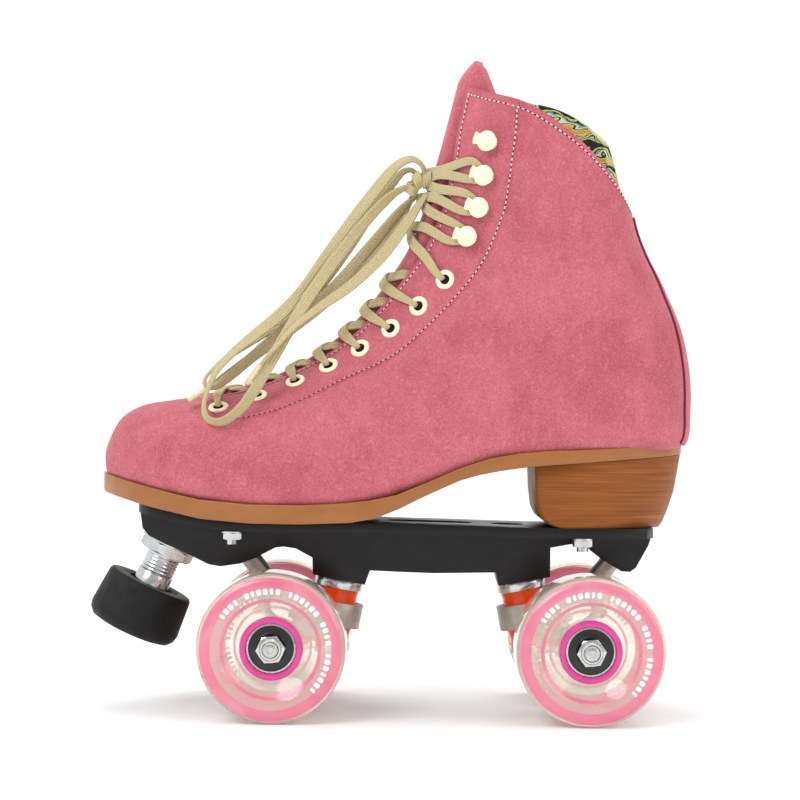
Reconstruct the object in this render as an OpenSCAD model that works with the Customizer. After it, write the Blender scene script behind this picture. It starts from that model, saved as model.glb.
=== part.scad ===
// Quad roller skate, left foot: a lasted boot on a plate with two steering trucks.
// Millimetres. +Z up, toe towards -X, left side towards -Y, floor at z = 0.

/* [Wheels] */
// Outside diameter of a wheel
wheel_d = 65; // [60:0.5:66]
// Width of a wheel across its faces
wheel_w = 35; // [31:0.5:36]
// Distance between the wheel centres of one truck
track = 88; // [86:0.5:90]
// Diameter of the magenta core that holds the bearings
hub_d = 27.5; // [27.5:0.5:34]

/* [Trucks] */
// Front axle's place along X
front_axle_x = -50.5; // [-52:0.1:-49]
// Rear axle's place along X
rear_axle_x = 88; // [86.5:0.1:89]
// Axle diameter
axle_d = 7; // [7:0.1:7.4]
// Lean of the kingpin from upright, degrees
kingpin_lean = 11; // [10:0.5:12]

/* [Toe stop] */
// Lean of the toe stop's stem from upright, degrees
stop_lean = 24.6; // [24:0.1:25]
// Diameter of the rubber at its lower edge
stop_d = 42.5; // [40:0.5:43]
// Stem diameter
stem_d = 15.8; // [15:0.1:15.8]

/* [Boot] */
// Thickness of the suede upper
skin_t = 2.4; // [2:0.1:2.6]
// Thickness of the printed lining
lining_t = 1.2; // [1:0.1:1.4]
// Thickness of the tongue
tongue_t = 3.6; // [3:0.1:4]
// Rise of the collar on the outer side of the foot
rise_outer = 8; // [6:0.5:9]
// Rise of the collar on the inner side of the foot
rise_inner = 26; // [22:0.5:27]
// Dip of the collar at the back
back_dip = 7; // [5:0.5:8]

/* [Laces] */
// Width of the flat lace where it crosses the throat
lace_w = 5.5; // [5:0.5:8]
// Thickness of the flat lace
lace_t = 1.5; // [1.2:0.1:1.6]
// Diameter of the bow's loops and ends, as round cords
bow_d = 3.6; // [3:0.1:4]

/* [Hidden] */
$fn = 48;

// ---- colours
suede = [0.83, 0.42, 0.49];
cotton = [0.80, 0.73, 0.50];
caramel = [0.68, 0.43, 0.24];
cream = [0.96, 0.93, 0.76];
nylon = [0.10, 0.10, 0.11];
chrome = [0.80, 0.81, 0.83];
cast = [0.62, 0.61, 0.58];
urethane = [0.98, 0.55, 0.70];
magenta = [0.86, 0.22, 0.62];
orange = [0.92, 0.30, 0.08];

// ---- the boot's form: sections that fan round the instep from collar to toe.
// Each row: instep x, z; back or underside x, z; half width; centre y;
// share of the section behind its widest point; roundness of the front and back halves.
LAST = [
    [29.6, 284.8, 109, 232, 37, 0, 0.50, 2.0, 2.1],
    [24.8, 265.3, 112, 219, 36.5, 0, 0.50, 2.0, 2.1],
    [20, 247, 117, 205, 36, 0, 0.50, 2.0, 2.1],
    [15, 228, 124, 190, 35.5, 0, 0.50, 2.0, 2.1],
    [8, 209.5, 131, 174, 35, 0, 0.49, 2.0, 2.1],
    [-1, 195, 135, 156, 34.5, 0, 0.47, 2.0, 2.2],
    [-11, 181.5, 135.5, 138, 34, 0, 0.45, 2.0, 2.5],
    [-20.5, 171.5, 132, 121.5, 34, -0.5, 0.42, 2.0, 3.5],
    [-30, 163.5, 113, 118.8, 34, -1, 0.38, 2.0, 6],
    [-39, 157.5, 82, 117, 35, -1.5, 0.36, 2.0, 8],
    [-48, 152.5, 48, 113.8, 36.5, -2, 0.34, 2.0, 8],
    [-59, 148, 16, 102.3, 40, -2, 0.32, 2.1, 8],
    [-72, 144, -14, 93.4, 44, -1.5, 0.32, 2.2, 8],
    [-86, 141.5, -45, 91.7, 46, 0, 0.33, 2.3, 8],
    [-100, 139.5, -74, 92.7, 44.5, 2, 0.36, 2.3, 7],
    [-113, 137, -98, 96.3, 38.5, 3.5, 0.40, 2.3, 6],
    [-123, 131, -117, 100.8, 28.5, 5, 0.45, 2.3, 4.5],
    [-129, 120, -127.5, 104, 15, 6, 0.50, 2.2, 3],
    [-130.3, 114, -130, 108, 5, 6, 0.50, 2, 2]
];
collar_depth = 2.5;        // sections over which the collar's rise fades out
throat_end = 13.2;         // section where the lacing opening ends
toe_tip = len(LAST) - 1;
// Half angle of the lacing opening at each section, degrees
THROAT = [24, 25, 29, 29, 25, 21, 18, 16, 15, 14, 14, 15, 15, 11, 6, 6, 6, 6, 6];

// Catmull-Rom blend of a table's rows at a fractional row number
function blend_rows(tab, u) =
    let (n = len(tab), i = min(max(floor(u), 0), n - 2), f = u - i)
    let (b = tab[i], c = tab[i + 1])
    let (a = i > 0 ? tab[i - 1] : 2 * b - c, d = i + 2 < n ? tab[i + 2] : 2 * c - b)
    b + 0.5 * f * ((c - a) + f * ((2 * a - 5 * b + 4 * c - d) + f * (3 * (b - c) + d - a)));

function signed_pow(v, e) = sign(v) * pow(abs(v), e);
function ease(x) = let (t = min(max(x, 0), 1)) t * t * (3 - 2 * t);

// Height of the collar's edge over a level cut, at an angle from the instep
function collar_rise(a) =
    let (b = acos(cos(a)), s = sin(a), inner = rise_inner * ease((b - 5) / 115) * (1 - ease((b - 138) / 26)))
    (s >= 0 ? inner : rise_outer * s * s * ease((b - 20) / 60)) - back_dip * pow(max(-cos(a), 0), 3);

// A point of the boot's outer surface: section u, angle a from the instep (negative = left)
function skin(u, a) =
    let (r = blend_rows(LAST, u), c = cos(a), s = sin(a), e = 2 / (c >= 0 ? r[7] : r[8]))
    let (k = r[6] + (c >= 0 ? 1 - r[6] : r[6]) * signed_pow(c, e))
    let (fade = max(0, 1 - u / collar_depth))
    [r[2] + (r[0] - r[2]) * k, r[5] + r[4] * signed_pow(s, e), r[3] + (r[1] - r[3]) * k + collar_rise(a) * fade];

function unit(v) = v / norm(v);

// Outward normal of the boot's surface
function skin_normal(u, a) =
    let (h = 0.02, p = skin(u, a))
    let (along = skin(u + h, a) - skin(u - h, a), round = skin(u, a + h * 10) - skin(u, a - h * 10))
    let (r = blend_rows(LAST, u), mid = [(r[0] + r[2]) / 2, r[5], (r[1] + r[3]) / 2])
    let (n = unit(cross(along, round)))
    n * (p - mid) < 0 ? -n : n;

function off_skin(u, a, d) = skin(u, a) + skin_normal(u, a) * d;

function throat(u) = u >= throat_end ? 6 : let (i = floor(max(u, 0)), f = max(u, 0) - i)
    THROAT[i] * (1 - f) + THROAT[i + 1] * f;

// Closed solid between two surfaces given as equal grids of points
module sheet_between(outer, inner) {
    rows = len(outer);
    cols = len(outer[0]);
    pts = [for (g = [outer, inner]) for (r = g) for (p = r) p];
    function at(s, i, j) = s * rows * cols + i * cols + j;
    faces = concat(
        [for (i = [0:rows - 2]) for (j = [0:cols - 2]) each [
            [at(0, i, j), at(0, i, j + 1), at(0, i + 1, j + 1)],
            [at(0, i, j), at(0, i + 1, j + 1), at(0, i + 1, j)],
            [at(1, i, j), at(1, i + 1, j + 1), at(1, i, j + 1)],
            [at(1, i, j), at(1, i + 1, j), at(1, i + 1, j + 1)]]],
        [for (i = [0:rows - 2]) each [
            [at(0, i, 0), at(0, i + 1, 0), at(1, i + 1, 0)],
            [at(0, i, 0), at(1, i + 1, 0), at(1, i, 0)],
            [at(0, i, cols - 1), at(1, i + 1, cols - 1), at(0, i + 1, cols - 1)],
            [at(0, i, cols - 1), at(1, i, cols - 1), at(1, i + 1, cols - 1)]]],
        [for (j = [0:cols - 2]) each [
            [at(0, 0, j), at(1, 0, j), at(1, 0, j + 1)],
            [at(0, 0, j), at(1, 0, j + 1), at(0, 0, j + 1)],
            [at(0, rows - 1, j), at(1, rows - 1, j + 1), at(1, rows - 1, j)],
            [at(0, rows - 1, j), at(0, rows - 1, j + 1), at(1, rows - 1, j + 1)]]]
    );
    polyhedron(pts, faces);
}

// A layer of the boot: sections u0 to u1, angles a0 to a1, between two offsets from the skin
module layer(u0, u1, nu, a0, a1, na, d_out, d_in) {
    grid = function (d) [for (i = [0:nu]) let (u = u0 + (u1 - u0) * i / nu)
        [for (j = [0:na]) off_skin(u, a0(u) + (a1(u) - a0(u)) * j / na, d)]];
    sheet_between(grid(d_out), grid(d_in));
}

// ---- boot parts
upper_rows = 32;
upper_cols = 30;
toe_rows_from = 24;        // rows past this one are closed over the toes

function upper_grid(d) = [for (i = [0:upper_rows])
    let (u = i <= toe_rows_from ? throat_end * i / toe_rows_from
        : throat_end + (toe_tip - throat_end) * (i - toe_rows_from) / (upper_rows - toe_rows_from))
    let (t = throat(u), push = i == upper_rows ? [-d, 0, 0] : [0, 0, 0])
    [for (j = [0:upper_cols]) off_skin(u, t + (360 - 2 * t) * j / upper_cols, d) + push]];

module upper_shell() {
    rows = upper_rows + 1;
    cols = upper_cols + 1;
    last = upper_rows;
    outer = upper_grid(0);
    inner = upper_grid(-skin_t);
    toe_out = skin(toe_tip, 0) * 0.5 + skin(toe_tip, 180) * 0.5 - [0.4, 0, 0];
    pts = concat([for (g = [outer, inner]) for (r = g) for (p = r) p],
        [toe_out, toe_out + [skin_t + 0.4, 0, 0]]);
    function at(s, i, j) = s * rows * cols + i * cols + j;
    tip = [2 * rows * cols, 2 * rows * cols + 1];
    // quads as two triangles; flip turns the face over
    function quad(a, b, c, d, flip) = flip ? [[a, c, b], [a, d, c]] : [[a, b, c], [a, c, d]];
    faces = concat(
        [for (s = [0, 1]) for (i = [0:last - 1]) for (j = [0:cols - 2])
            each quad(at(s, i, j), at(s, i, j + 1), at(s, i + 1, j + 1), at(s, i + 1, j), s == 1)],
        [for (s = [0, 1]) for (i = [toe_rows_from:last - 1])
            each quad(at(s, i, cols - 1), at(s, i, 0), at(s, i + 1, 0), at(s, i + 1, cols - 1), s == 1)],
        [for (i = [0:toe_rows_from - 1]) each concat(
            quad(at(0, i, 0), at(0, i + 1, 0), at(1, i + 1, 0), at(1, i, 0), false),
            quad(at(0, i, cols - 1), at(0, i + 1, cols - 1), at(1, i + 1, cols - 1), at(1, i, cols - 1), true))],
        quad(at(0, toe_rows_from, cols - 1), at(0, toe_rows_from, 0),
            at(1, toe_rows_from, 0), at(1, toe_rows_from, cols - 1), true),
        [for (j = [0:cols - 2]) each quad(at(0, 0, j), at(1, 0, j), at(1, 0, j + 1), at(0, 0, j + 1), false)],
        [for (s = [0, 1]) for (j = [0:cols - 1])
            let (k = (j + 1) % cols)
            s == 0 ? [at(0, last, j), at(0, last, k), tip[0]] : [at(1, last, k), at(1, last, j), tip[1]]]
    );
    polyhedron(pts, faces);
}
module upper() color(suede) upper_shell();

// The tongue rises in the opening and passes under the facings beside it
tongue_gap = 0.4;
function tongue_off(u, a) =
    let (s = ease((abs(a) - throat(u) + 9) / 8))
    0.4 * (1 - s) - (skin_t + lining_t + tongue_gap) * s + tongue_lean(u);
// The top stands above the collar, bends towards the shin and ends in a rounded point
tongue_top = -0.65;
function tongue_lean(u) = -4.5 * pow(max(u / tongue_top, 0), 1.5);
function tongue_half(u) = u < 0 ? 44 * pow(max(1 - u / tongue_top, 0.02), 0.6) : 44 - 1.1 * u;
module tongue() color(suede) {
    grid = function (d) [for (i = [0:26]) let (u = tongue_top + (12.46 - tongue_top) * pow(i / 26, 1.2), w = tongue_half(u))
        [for (j = [0:10]) let (a = -w + 2 * w * j / 10) off_skin(u, a, tongue_off(u, a) + d)]];
    sheet_between(grid(0), grid(-tongue_t));
}

module collar_lining() color(cream)
    layer(0, 4.6, 8, function (u) throat(u) + 3, function (u) 357 - throat(u), 28, -skin_t - 0.02,
        -skin_t - lining_t);

module heel_counter() color(caramel)
    layer(4.75, 6.8, 5, function (u) 118, function (u) 242, 12, -skin_t - 0.02, -skin_t - 1.4);

module toe_puff() color(caramel)
    layer(14.6, 17.2, 5, function (u) -95, function (u) 95, 12, -skin_t - 0.02, -skin_t - 1.2);

module insole() color(cream)
    layer(8.1, 16.4, 14, function (u) 150, function (u) 210, 6, -skin_t - 2.6, -skin_t - 5.2);

module backstay() color(suede)
    layer(0.02, 6.9, 14, function (u) 162, function (u) 198, 4, 1.1, 0.02);

// Section and angle of each eyelet and hook, on the left side
EYELETS = [[4.6, 46], [5.5, 40], [6.4, 34], [7.5, 29], [8.8, 27.5], [10.2, 28], [11.5, 30], [12.7, 36]];
HOOKS = [[1.1, 55], [1.9, 56], [2.65, 55.5], [3.4, 52]];

// Stand children on the skin with +Z along its normal
module on_skin(u, a, d = 0) {
    n = skin_normal(u, a);
    translate(off_skin(u, a, d))
        rotate([0, acos(n[2]), atan2(n[1], n[0])])
            children();
}

module eyelets() color(cream)
    for (e = EYELETS) for (side = [-1, 1])
        on_skin(e[0], side * e[1], 0.1)
            rotate_extrude()
                polygon([[2.1, -1.6], [2.7, -1.6], [2.7, -0.2], [4.5, -0.2], [4.4, 0.5], [3.6, 1], [2.6, 0.9], [2.1, 0.3]]);

module lace_hooks() color(cream)
    for (h = HOOKS) for (side = [-1, 1])
        on_skin(h[0], side * h[1], 0.1)
            rotate_extrude()
                polygon([[0, -0.6], [3.4, -0.6], [3.4, 0.5], [1.9, 0.9], [1.9, 3.4], [4.4, 3.5],
                    [4.7, 3.9], [4.5, 4.4], [3.4, 4.9], [0, 5.2]]);

// ---- laces
// A flat strap along points of the skin; each point is [section, angle, height]
module strap(route, w) {
    n = len(route);
    mid = [for (p = route) off_skin(p[0], p[1], p[2])];
    ring = [for (i = [0:n - 1])
        let (d = mid[min(i + 1, n - 1)] - mid[max(i - 1, 0)], up = skin_normal(route[i][0], route[i][1]))
        let (s = unit(cross(d, up)), v = unit(cross(s, d)))
        [for (c = [[1, 1], [-1, 1], [-1, -1], [1, -1]]) mid[i] + s * c[0] * w / 2 + v * c[1] * lace_t / 2]];
    sweep(ring);
}

// Solid from a list of equal closed rings of points
module sweep(rings) {
    n = len(rings);
    m = len(rings[0]);
    polyhedron([for (r = rings) for (p = r) p], concat(
        [[for (j = [0:m - 1]) j]],
        [for (i = [0:n - 2]) for (j = [0:m - 1]) let (k = (j + 1) % m) each [
            [i * m + j, (i + 1) * m + j, (i + 1) * m + k], [i * m + j, (i + 1) * m + k, i * m + k]]],
        [[for (j = [m - 1:-1:0]) (n - 1) * m + j]]));
}

// One crossing from an eyelet or hook over the opening to the edge of the other facing
module crossing(from, to, side, lift) {
    steps = 6;
    far = throat(to[0]) + 2;
    strap([for (i = [0:steps])
        let (f = i / steps, a = -from[1] * (1 - f) + far * f, crest = max(0, 1 - abs(a) / 22))
        [from[0] + (to[0] - from[0]) * f, side * a, (i == 0 ? 1.2 : 1.8) + lift * crest]], lace_w);
}

// Everything the lace passes through, from the toe up
LACED = [for (i = [7:-1:0]) EYELETS[i], for (i = [3:-1:1]) HOOKS[i]];
module crossings(side, lift) for (i = [0:len(LACED) - 2]) crossing(LACED[i], LACED[i + 1], side, lift);
module lace_under() color(cotton) crossings(1, 0.4);
module lace_over() color(cotton) crossings(-1, 2.8);

// Where the bow is tied, just in front of the opening
knot = [13, -7, 238.5];
module lace_knot() color(cotton)
    translate(knot)
        rotate([0, 35, 0])
            rotate_extrude() polygon([[0, -5], [3.4, -4], [4.6, 0], [3.4, 4], [0, 5]]);

// Routes of the bow, from the knot and, on a loop, back to it
LOOP_LEFT = [
    [14, -8, 242], [13, -8, 247], [8, -8, 250], [1, -9, 246.5], [-7, -11, 237], [-18, -13, 222],
    [-30, -16, 204.5], [-40, -18, 189.5], [-50, -22, 178.5], [-61, -26, 169], [-70, -31, 161],
    [-77, -36, 152.5], [-81, -39, 143], [-82, -41, 135.5], [-79.5, -42, 131], [-73.5, -42.5, 130.5],
    [-66.5, -41, 135.5], [-61, -38, 143], [-54, -32, 156], [-46.5, -26, 170], [-38.5, -21, 184.5],
    [-28, -17, 200.5], [-14, -14, 219], [-1, -11, 233], [9, -9, 238.5]];
LOOP_RIGHT = [
    [11, -4, 243], [7.5, -3.5, 245.5], [2, -4, 242.5], [-9, -6, 227.5], [-21, -8.5, 208.5], [-34, -11.5, 190.5],
    [-46, -14, 177.5], [-58, -17, 170], [-70, -21, 162], [-79, -24, 153], [-82.5, -26, 148], [-79, -27, 146.5],
    [-73, -26.5, 150.5], [-65, -24, 157], [-54.5, -20.5, 166], [-41.5, -16.5, 178], [-26, -12.5, 191.5],
    [-10, -9, 210.5], [3.5, -7, 227], [11, -5.5, 234]];
END_LEFT = [
    [15, -10, 234], [11, -11.5, 228], [3, -13.5, 216], [-6, -16, 204], [-19, -19, 191.5], [-32, -22.5, 182],
    [-43, -27, 173], [-51, -31, 164], [-57, -34, 156.5], [-61.5, -36, 150]];
END_RIGHT = [
    [9, -3, 234], [4.5, -4.5, 225.5], [-5, -6.5, 211.5], [-17, -9, 198], [-31, -12, 184], [-45, -15, 172.5],
    [-58, -18, 162.5], [-68.5, -21.5, 154.5], [-78, -25, 147.5], [-86.5, -27.5, 141.5]];
aglet_l = 16;

// Round cord along a route of points
module cord(route, d, sides = 8) {
    n = len(route);
    rings = [for (i = [0:n - 1])
        let (t = unit(route[min(i + 1, n - 1)] - route[max(i - 1, 0)]))
        let (s = unit(cross(t, [0.2, 1, 0.1])), v = cross(t, s))
        [for (j = [0:sides - 1]) route[i] + d / 2 * (s * cos(360 * j / sides) + v * sin(360 * j / sides))]];
    sweep(rings);
}

module bow_loop_left() color(cotton) cord(LOOP_LEFT, bow_d);
module bow_loop_right() color(cotton) cord(LOOP_RIGHT, bow_d);
module lace_end_left() color(cotton) cord(END_LEFT, bow_d);
module lace_end_right() color(cotton) cord(END_RIGHT, bow_d);

// The crimped tip on each lace end
module aglets() color(cream)
    for (route = [END_LEFT, END_RIGHT]) {
        n = len(route);
        t = unit(route[n - 1] - route[n - 2]);
        translate(route[n - 1] + t * 0.05)
            rotate([0, acos(t[2]), atan2(t[1], t[0])])
                cylinder(d = 3, h = aglet_l / 2, $fn = 16);
    }

// ---- sole and heel
// Side lines of the sole, toe to heel: upper edge and tread edge
SOLE_TOP = [
    [-134, 107], [-126, 105.4], [-114.5, 102.7], [-94.8, 98.2], [-83.7, 96], [-61.6, 94.3], [-39.5, 94.2],
    [-21.9, 95.1], [-8.6, 96.5], [3, 99], [17.8, 105.2], [30.9, 111], [44.1, 115.4], [57.4, 117.8],
    [70.6, 118.9], [92.7, 119.9], [110.3, 121.2], [134, 123.2]];
SOLE_TREAD = [
    [-134, 98.6], [-124.4, 96.5], [-105.4, 91.9], [-83.4, 87.5], [-61.3, 85.9], [-39.3, 85.8], [-17.3, 86.7],
    [-6.3, 88.6], [4.6, 93.1], [13.4, 97.6], [22.2, 101.7], [30.9, 105.6], [39.7, 108.2], [48.5, 109.9],
    [57, 111.2], [64, 112]];
heel_seat = [134, 117.7];
welt = 1.2;
heel_arc_x = 88;

// Plan outline of the sole: the boot's own widest line, a welt wider, with a round heel
function sole_side(s) = [for (u = [9:0.75:17.7]) let (r = blend_rows(LAST, u)) [r[2], r[5] + s * (r[4] + welt)]];
function reversed(v) = [for (i = [len(v) - 1:-1:0]) v[i]];
function heel_arc(length, half) = [for (t = [80:-10:-80]) [heel_arc_x + length * cos(t), half * sin(t)]];
module sole_plan() polygon(concat(sole_side(-1), [[-131.4, 6]], reversed(sole_side(1)), heel_arc(44.6, 35.4)));

// Extrude an outline drawn in X and Z over a width centred on y = 0
module side_extrude(width) rotate([90, 0, 0]) linear_extrude(width, center = true) children();

// Boot bolts: place along X, distance from the middle, underside of the flange there, top of the boot's floor
bolt_y = 27;
BOLTS = [[-70, 81.7, 95.3], [86, 80.1, 119.8]];
bolt_d = 5;
module at_bolts() for (b = BOLTS) for (side = [-1, 1]) translate([b[0], side * bolt_y, 0]) children();
module bolt_holes() at_bolts() cylinder(d = bolt_d + 0.2, h = 140);

module outsole() color(caramel) difference() {
    intersection() {
        translate([0, 0, 70]) linear_extrude(70) sole_plan();
        side_extrude(120) polygon(concat(SOLE_TREAD, [heel_seat], reversed(SOLE_TOP)));
    }
    bolt_holes();
}

// Rings of the stacked heel, bottom to top: height, breast x, back x, half width
HEEL = [
    [84.5, 74.5, 123, 30], [86.2, 70.6, 124.2, 30.4], [88.5, 67.4, 125.3, 30.8],
    [92.5, 65.6, 126.9, 31.5], [101, 64.6, 129.6, 32.8], [112, 64.2, 132.4, 34.2]
];
module heel_block() color(caramel) difference() {
    top = len(HEEL) - 1;
    slope = (heel_seat[1] - 112) / (heel_seat[0] - 64);
    sweep([for (i = [top:-1:0]) let (h = HEEL[i])
        let (plan = concat([[h[1], -h[3] + 2], [h[1] + 2, -h[3]]],
            [for (t = [-90:15:90]) [heel_arc_x + (h[2] - heel_arc_x) * cos(t), h[3] * sin(t)]],
            [[h[1] + 2, h[3]], [h[1], h[3] - 2]]))
        [for (p = plan) [p[0], p[1], i == top ? 112 + (p[0] - 64) * slope : h[0]]]]);
    bolt_holes();
}

// ---- plate
axle_z = wheel_d / 2;
PLATE_TOP = [
    [-112.5, 93.6], [-105.4, 91.9], [-83.4, 87.5], [-61.3, 85.9], [-39.3, 85.8], [-10, 86], [30, 85.3],
    [62, 84.5], [118.2, 84.5]];
PLATE_UNDER = [
    [118.2, 82], [116.5, 76.5], [111, 66.5], [108.5, 64.6], [104.5, 64.8], [95, 70.5], [90.5, 74], [89.5, 76.4],
    [83, 77], [72.5, 75], [72.5, 61.9], [49.5, 57.6], [48, 63.6], [20, 63], [5, 63.4], [-8.5, 63.9], [-10.8, 57.4],
    [-34.2, 61.9], [-34.5, 69.4], [-42, 73.4], [-47.6, 74.2], [-51.2, 73.7], [-60, 69], [-67, 66.3],
    [-75.7, 65], [-81, 65.8], [-89.2, 69.7], [-108.1, 78.4], [-111, 82]];
flange_t = 4.4;
web_w = 34;
// Half widths of the flange along X
FLANGE = [
    [-112.5, 19], [-111, 23], [-107, 27], [-100, 30], [-80, 31.5], [-50, 31.5], [-20, 29.5], [10, 27.5],
    [40, 27.5], [65, 29.5], [90, 30.5], [108, 29.5], [115, 26], [118.2, 20]];
// Lightening slots in the waist: places of the middles of their round ends along X
SLOTS = [[6.5, 30.5], [53.5, 53.6]];
slot_w = 15;
slot_floor = 71;

module plate() color(nylon) difference() {
    union() {
        intersection() {
            translate([0, 0, 70]) linear_extrude(40)
                polygon(concat(FLANGE, [for (p = reversed(FLANGE)) [p[0], -p[1]]]));
            side_extrude(80)
                polygon(concat(PLATE_TOP, [for (p = reversed(PLATE_TOP)) [p[0], p[1] - flange_t]]));
        }
        side_extrude(web_w) polygon(concat([for (p = PLATE_TOP) p - [0, 1]], PLATE_UNDER));
    }
    bolt_holes();
    for (s = SLOTS) translate([0, 0, slot_floor]) linear_extrude(40) hull()
        for (x = s) translate([x, 0]) circle(d = slot_w);
    both_trucks() {
        kingpin_frame() translate([0, 0, -16]) cylinder(d = kingpin_d + 0.04, h = 30);
        pivot_frame() translate([0, 0, -6.5]) cylinder(r = cup_r + 0.02, h = 30);
    }
    stop_frame() translate([0, 0, -11]) cylinder(d = stem_d + 0.1, h = 30);
}

module plate_bolts() color(chrome) for (b = BOLTS) for (side = [-1, 1])
    translate([b[0], side * bolt_y, 0]) {
        translate([0, 0, b[1] - 6]) cylinder(d = bolt_d, h = b[2] - b[1] + 6);
        translate([0, 0, b[2]]) rotate_extrude()
            polygon([[0, 0], [4.5, 0], [4.2, 1], [3, 1.7], [0, 2]]);
    }

module plate_washers() color(chrome) for (b = BOLTS) for (side = [-1, 1])
    translate([b[0], side * bolt_y, b[1] - 1]) difference() {
        cylinder(r = 5, h = 1);
        translate([0, 0, -1]) cylinder(d = bolt_d + 0.2, h = 4);
    }

module plate_nuts() color(chrome) for (b = BOLTS) for (side = [-1, 1])
    translate([b[0], side * bolt_y, b[1] - 5]) difference() {
        union() {
            translate([0, 0, 1]) cylinder(r = 4.62, h = 3, $fn = 6);
            cylinder(r = 3.4, h = 2);
        }
        translate([0, 0, -1]) cylinder(d = bolt_d, h = 8);
    }

// ---- trucks: drawn for the front, with x = 0 at the axle and the kingpin towards +X
module front_frame() translate([front_axle_x, 0, axle_z]) children();
module rear_frame() translate([rear_axle_x, 0, axle_z]) mirror([1, 0, 0]) children();
module both_trucks() {
    front_frame() children();
    rear_frame() children();
}

kingpin_seat = [28, 0, 27];   // middle of the boss's face, from the axle
pivot_ball = [-17, 0, 40.5];
pivot_angle = 140.5;          // direction of the pivot stem
kingpin_d = 8;
ball_r = 5.5;
cup_r = 8.5;
module kingpin_frame() translate(kingpin_seat) rotate([0, 180 + kingpin_lean, 0]) children();
module pivot_frame() translate(pivot_ball) rotate([0, pivot_angle, 0]) children();

module tube(r_out, r_in, z0, z1) translate([0, 0, z0]) difference() {
    cylinder(r = r_out, h = z1 - z0);
    translate([0, 0, -1]) cylinder(r = r_in, h = z1 - z0 + 2);
}

module pivot_cups() color(nylon) both_trucks() pivot_frame() difference() {
    translate([0, 0, -6.5]) cylinder(r = cup_r, h = 10);
    sphere(r = ball_r + 0.08);
    cylinder(r = ball_r + 0.08, h = 20);
}

ring_top = 10.4;              // hanger ring along the kingpin, from the boss
ring_h = 11;
ring_r = 13.2;
seat_r = 10.5;
seat_depth = 3;

module kingpins() color(chrome) both_trucks() kingpin_frame()
    translate([0, 0, -15.5]) cylinder(d = kingpin_d, h = 54.5);

module cushion_retainers() color(chrome) both_trucks() kingpin_frame() {
    difference() {
        tube(11.4, 4.1, 0, 4.6);
        translate([0, 0, 2.4]) cylinder(r = 10.2, h = 5);
    }
    difference() {
        tube(11, 4.1, 28.4, 32.2);
        translate([0, 0, 25]) cylinder(r = 9.7, h = 5);
    }
}

module kingpin_lock_nuts() color(chrome) both_trucks() kingpin_frame() difference() {
    union() {
        translate([0, 0, 32.2]) cylinder(r = 7.5, h = 4, $fn = 6);
        translate([0, 0, 36]) cylinder(r = 5.6, h = 2);
    }
    translate([0, 0, 30]) cylinder(d = kingpin_d, h = 12);
}

module cushion_pair() kingpin_frame() rotate_extrude() {
    polygon([[4.2, 2.4], [9.9, 2.4], [10, 5], [9.6, 7.5], [9.8, 10.5], [10.1, 13.3], [4.2, 13.3]]);
    polygon([[4.2, 18.5], [10.1, 18.5], [10, 21.8], [9.4, 25], [9.5, 30], [4.2, 30]]);
}
module front_cushions() color(orange) front_frame() cushion_pair();
module rear_cushions() color(orange) rear_frame() cushion_pair();

module hanger() difference() {
    union() {
        rotate([90, 0, 0]) rotate_extrude()
            polygon([[0, -31.4], [5.2, -31.4], [5.6, -25.5], [7, -21], [9, -13], [9, 13], [7, 21], [5.6, 25.5],
                [5.2, 31.4], [0, 31.4]]);
        side_extrude(20)
            polygon([[-8, -4], [-8, 8], [-3, 19], [5, 20], [13, 17], [15, 8], [12, 0], [5, -8], [-4, -8]]);
        kingpin_frame() translate([0, 0, ring_top]) cylinder(r = ring_r, h = ring_h);
        pivot_frame() cylinder(r = 4.5, h = 34);
        translate(pivot_ball) sphere(r = ball_r);
    }
    rotate([90, 0, 0]) cylinder(d = axle_d, h = 80, center = true);
    kingpin_frame() {
        cylinder(r = 6.4, h = 40);
        translate([0, 0, 4]) cylinder(r = seat_r, h = ring_top + seat_depth - 4);
        translate([0, 0, ring_top + ring_h - seat_depth]) cylinder(r = seat_r, h = 20);
        translate([0, 0, ring_top + ring_h]) cylinder(r = 11.8, h = 20);
    }
}
module front_hanger() color(cast) front_frame() hanger();
module rear_hanger() color(cast) rear_frame() hanger();

axle_end = 64;
hub_half = 13;
bearing_w = 7;
bearing_out = 12;             // outer face of a bearing from the wheel's middle
module axle() rotate([90, 0, 0]) cylinder(d = axle_d, h = 2 * axle_end, center = true);
module front_axle() color(chrome) front_frame() axle();
module rear_axle() color(chrome) rear_frame() axle();

// Turn children's Z along Y, out from the middle, on both sides
module both_ends() for (side = [-1, 1]) rotate([side * -90, 0, 0]) children();
wheel_y = track / 2;

module inner_races() both_ends() for (z = [wheel_y - bearing_out, wheel_y + bearing_out - bearing_w])
    tube(5.7, axle_d / 2, z, z + bearing_w);
module front_inner_races() color(chrome) front_frame() inner_races();
module rear_inner_races() color(chrome) rear_frame() inner_races();

module axle_washers() both_ends() {
    tube(5, axle_d / 2, 31.4, wheel_y - bearing_out);
    tube(5, axle_d / 2, wheel_y - bearing_out + bearing_w, wheel_y + bearing_out - bearing_w);
    tube(5.4, axle_d / 2, wheel_y + bearing_out, wheel_y + bearing_out + 0.8);
}
module front_axle_washers() color(chrome) front_frame() axle_washers();
module rear_axle_washers() color(chrome) rear_frame() axle_washers();

nut_start = wheel_y + bearing_out + 0.8;
module axle_nuts() both_ends() difference() {
    union() {
        translate([0, 0, nut_start]) cylinder(r = 6.4, h = 4.4, $fn = 6);
        translate([0, 0, nut_start + 4]) cylinder(r = 5, h = 2.2);
    }
    translate([0, 0, nut_start - 1]) cylinder(d = axle_d, h = 12);
}
module front_axle_nuts() color(chrome) front_frame() axle_nuts();
module rear_axle_nuts() color(chrome) rear_frame() axle_nuts();

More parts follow.
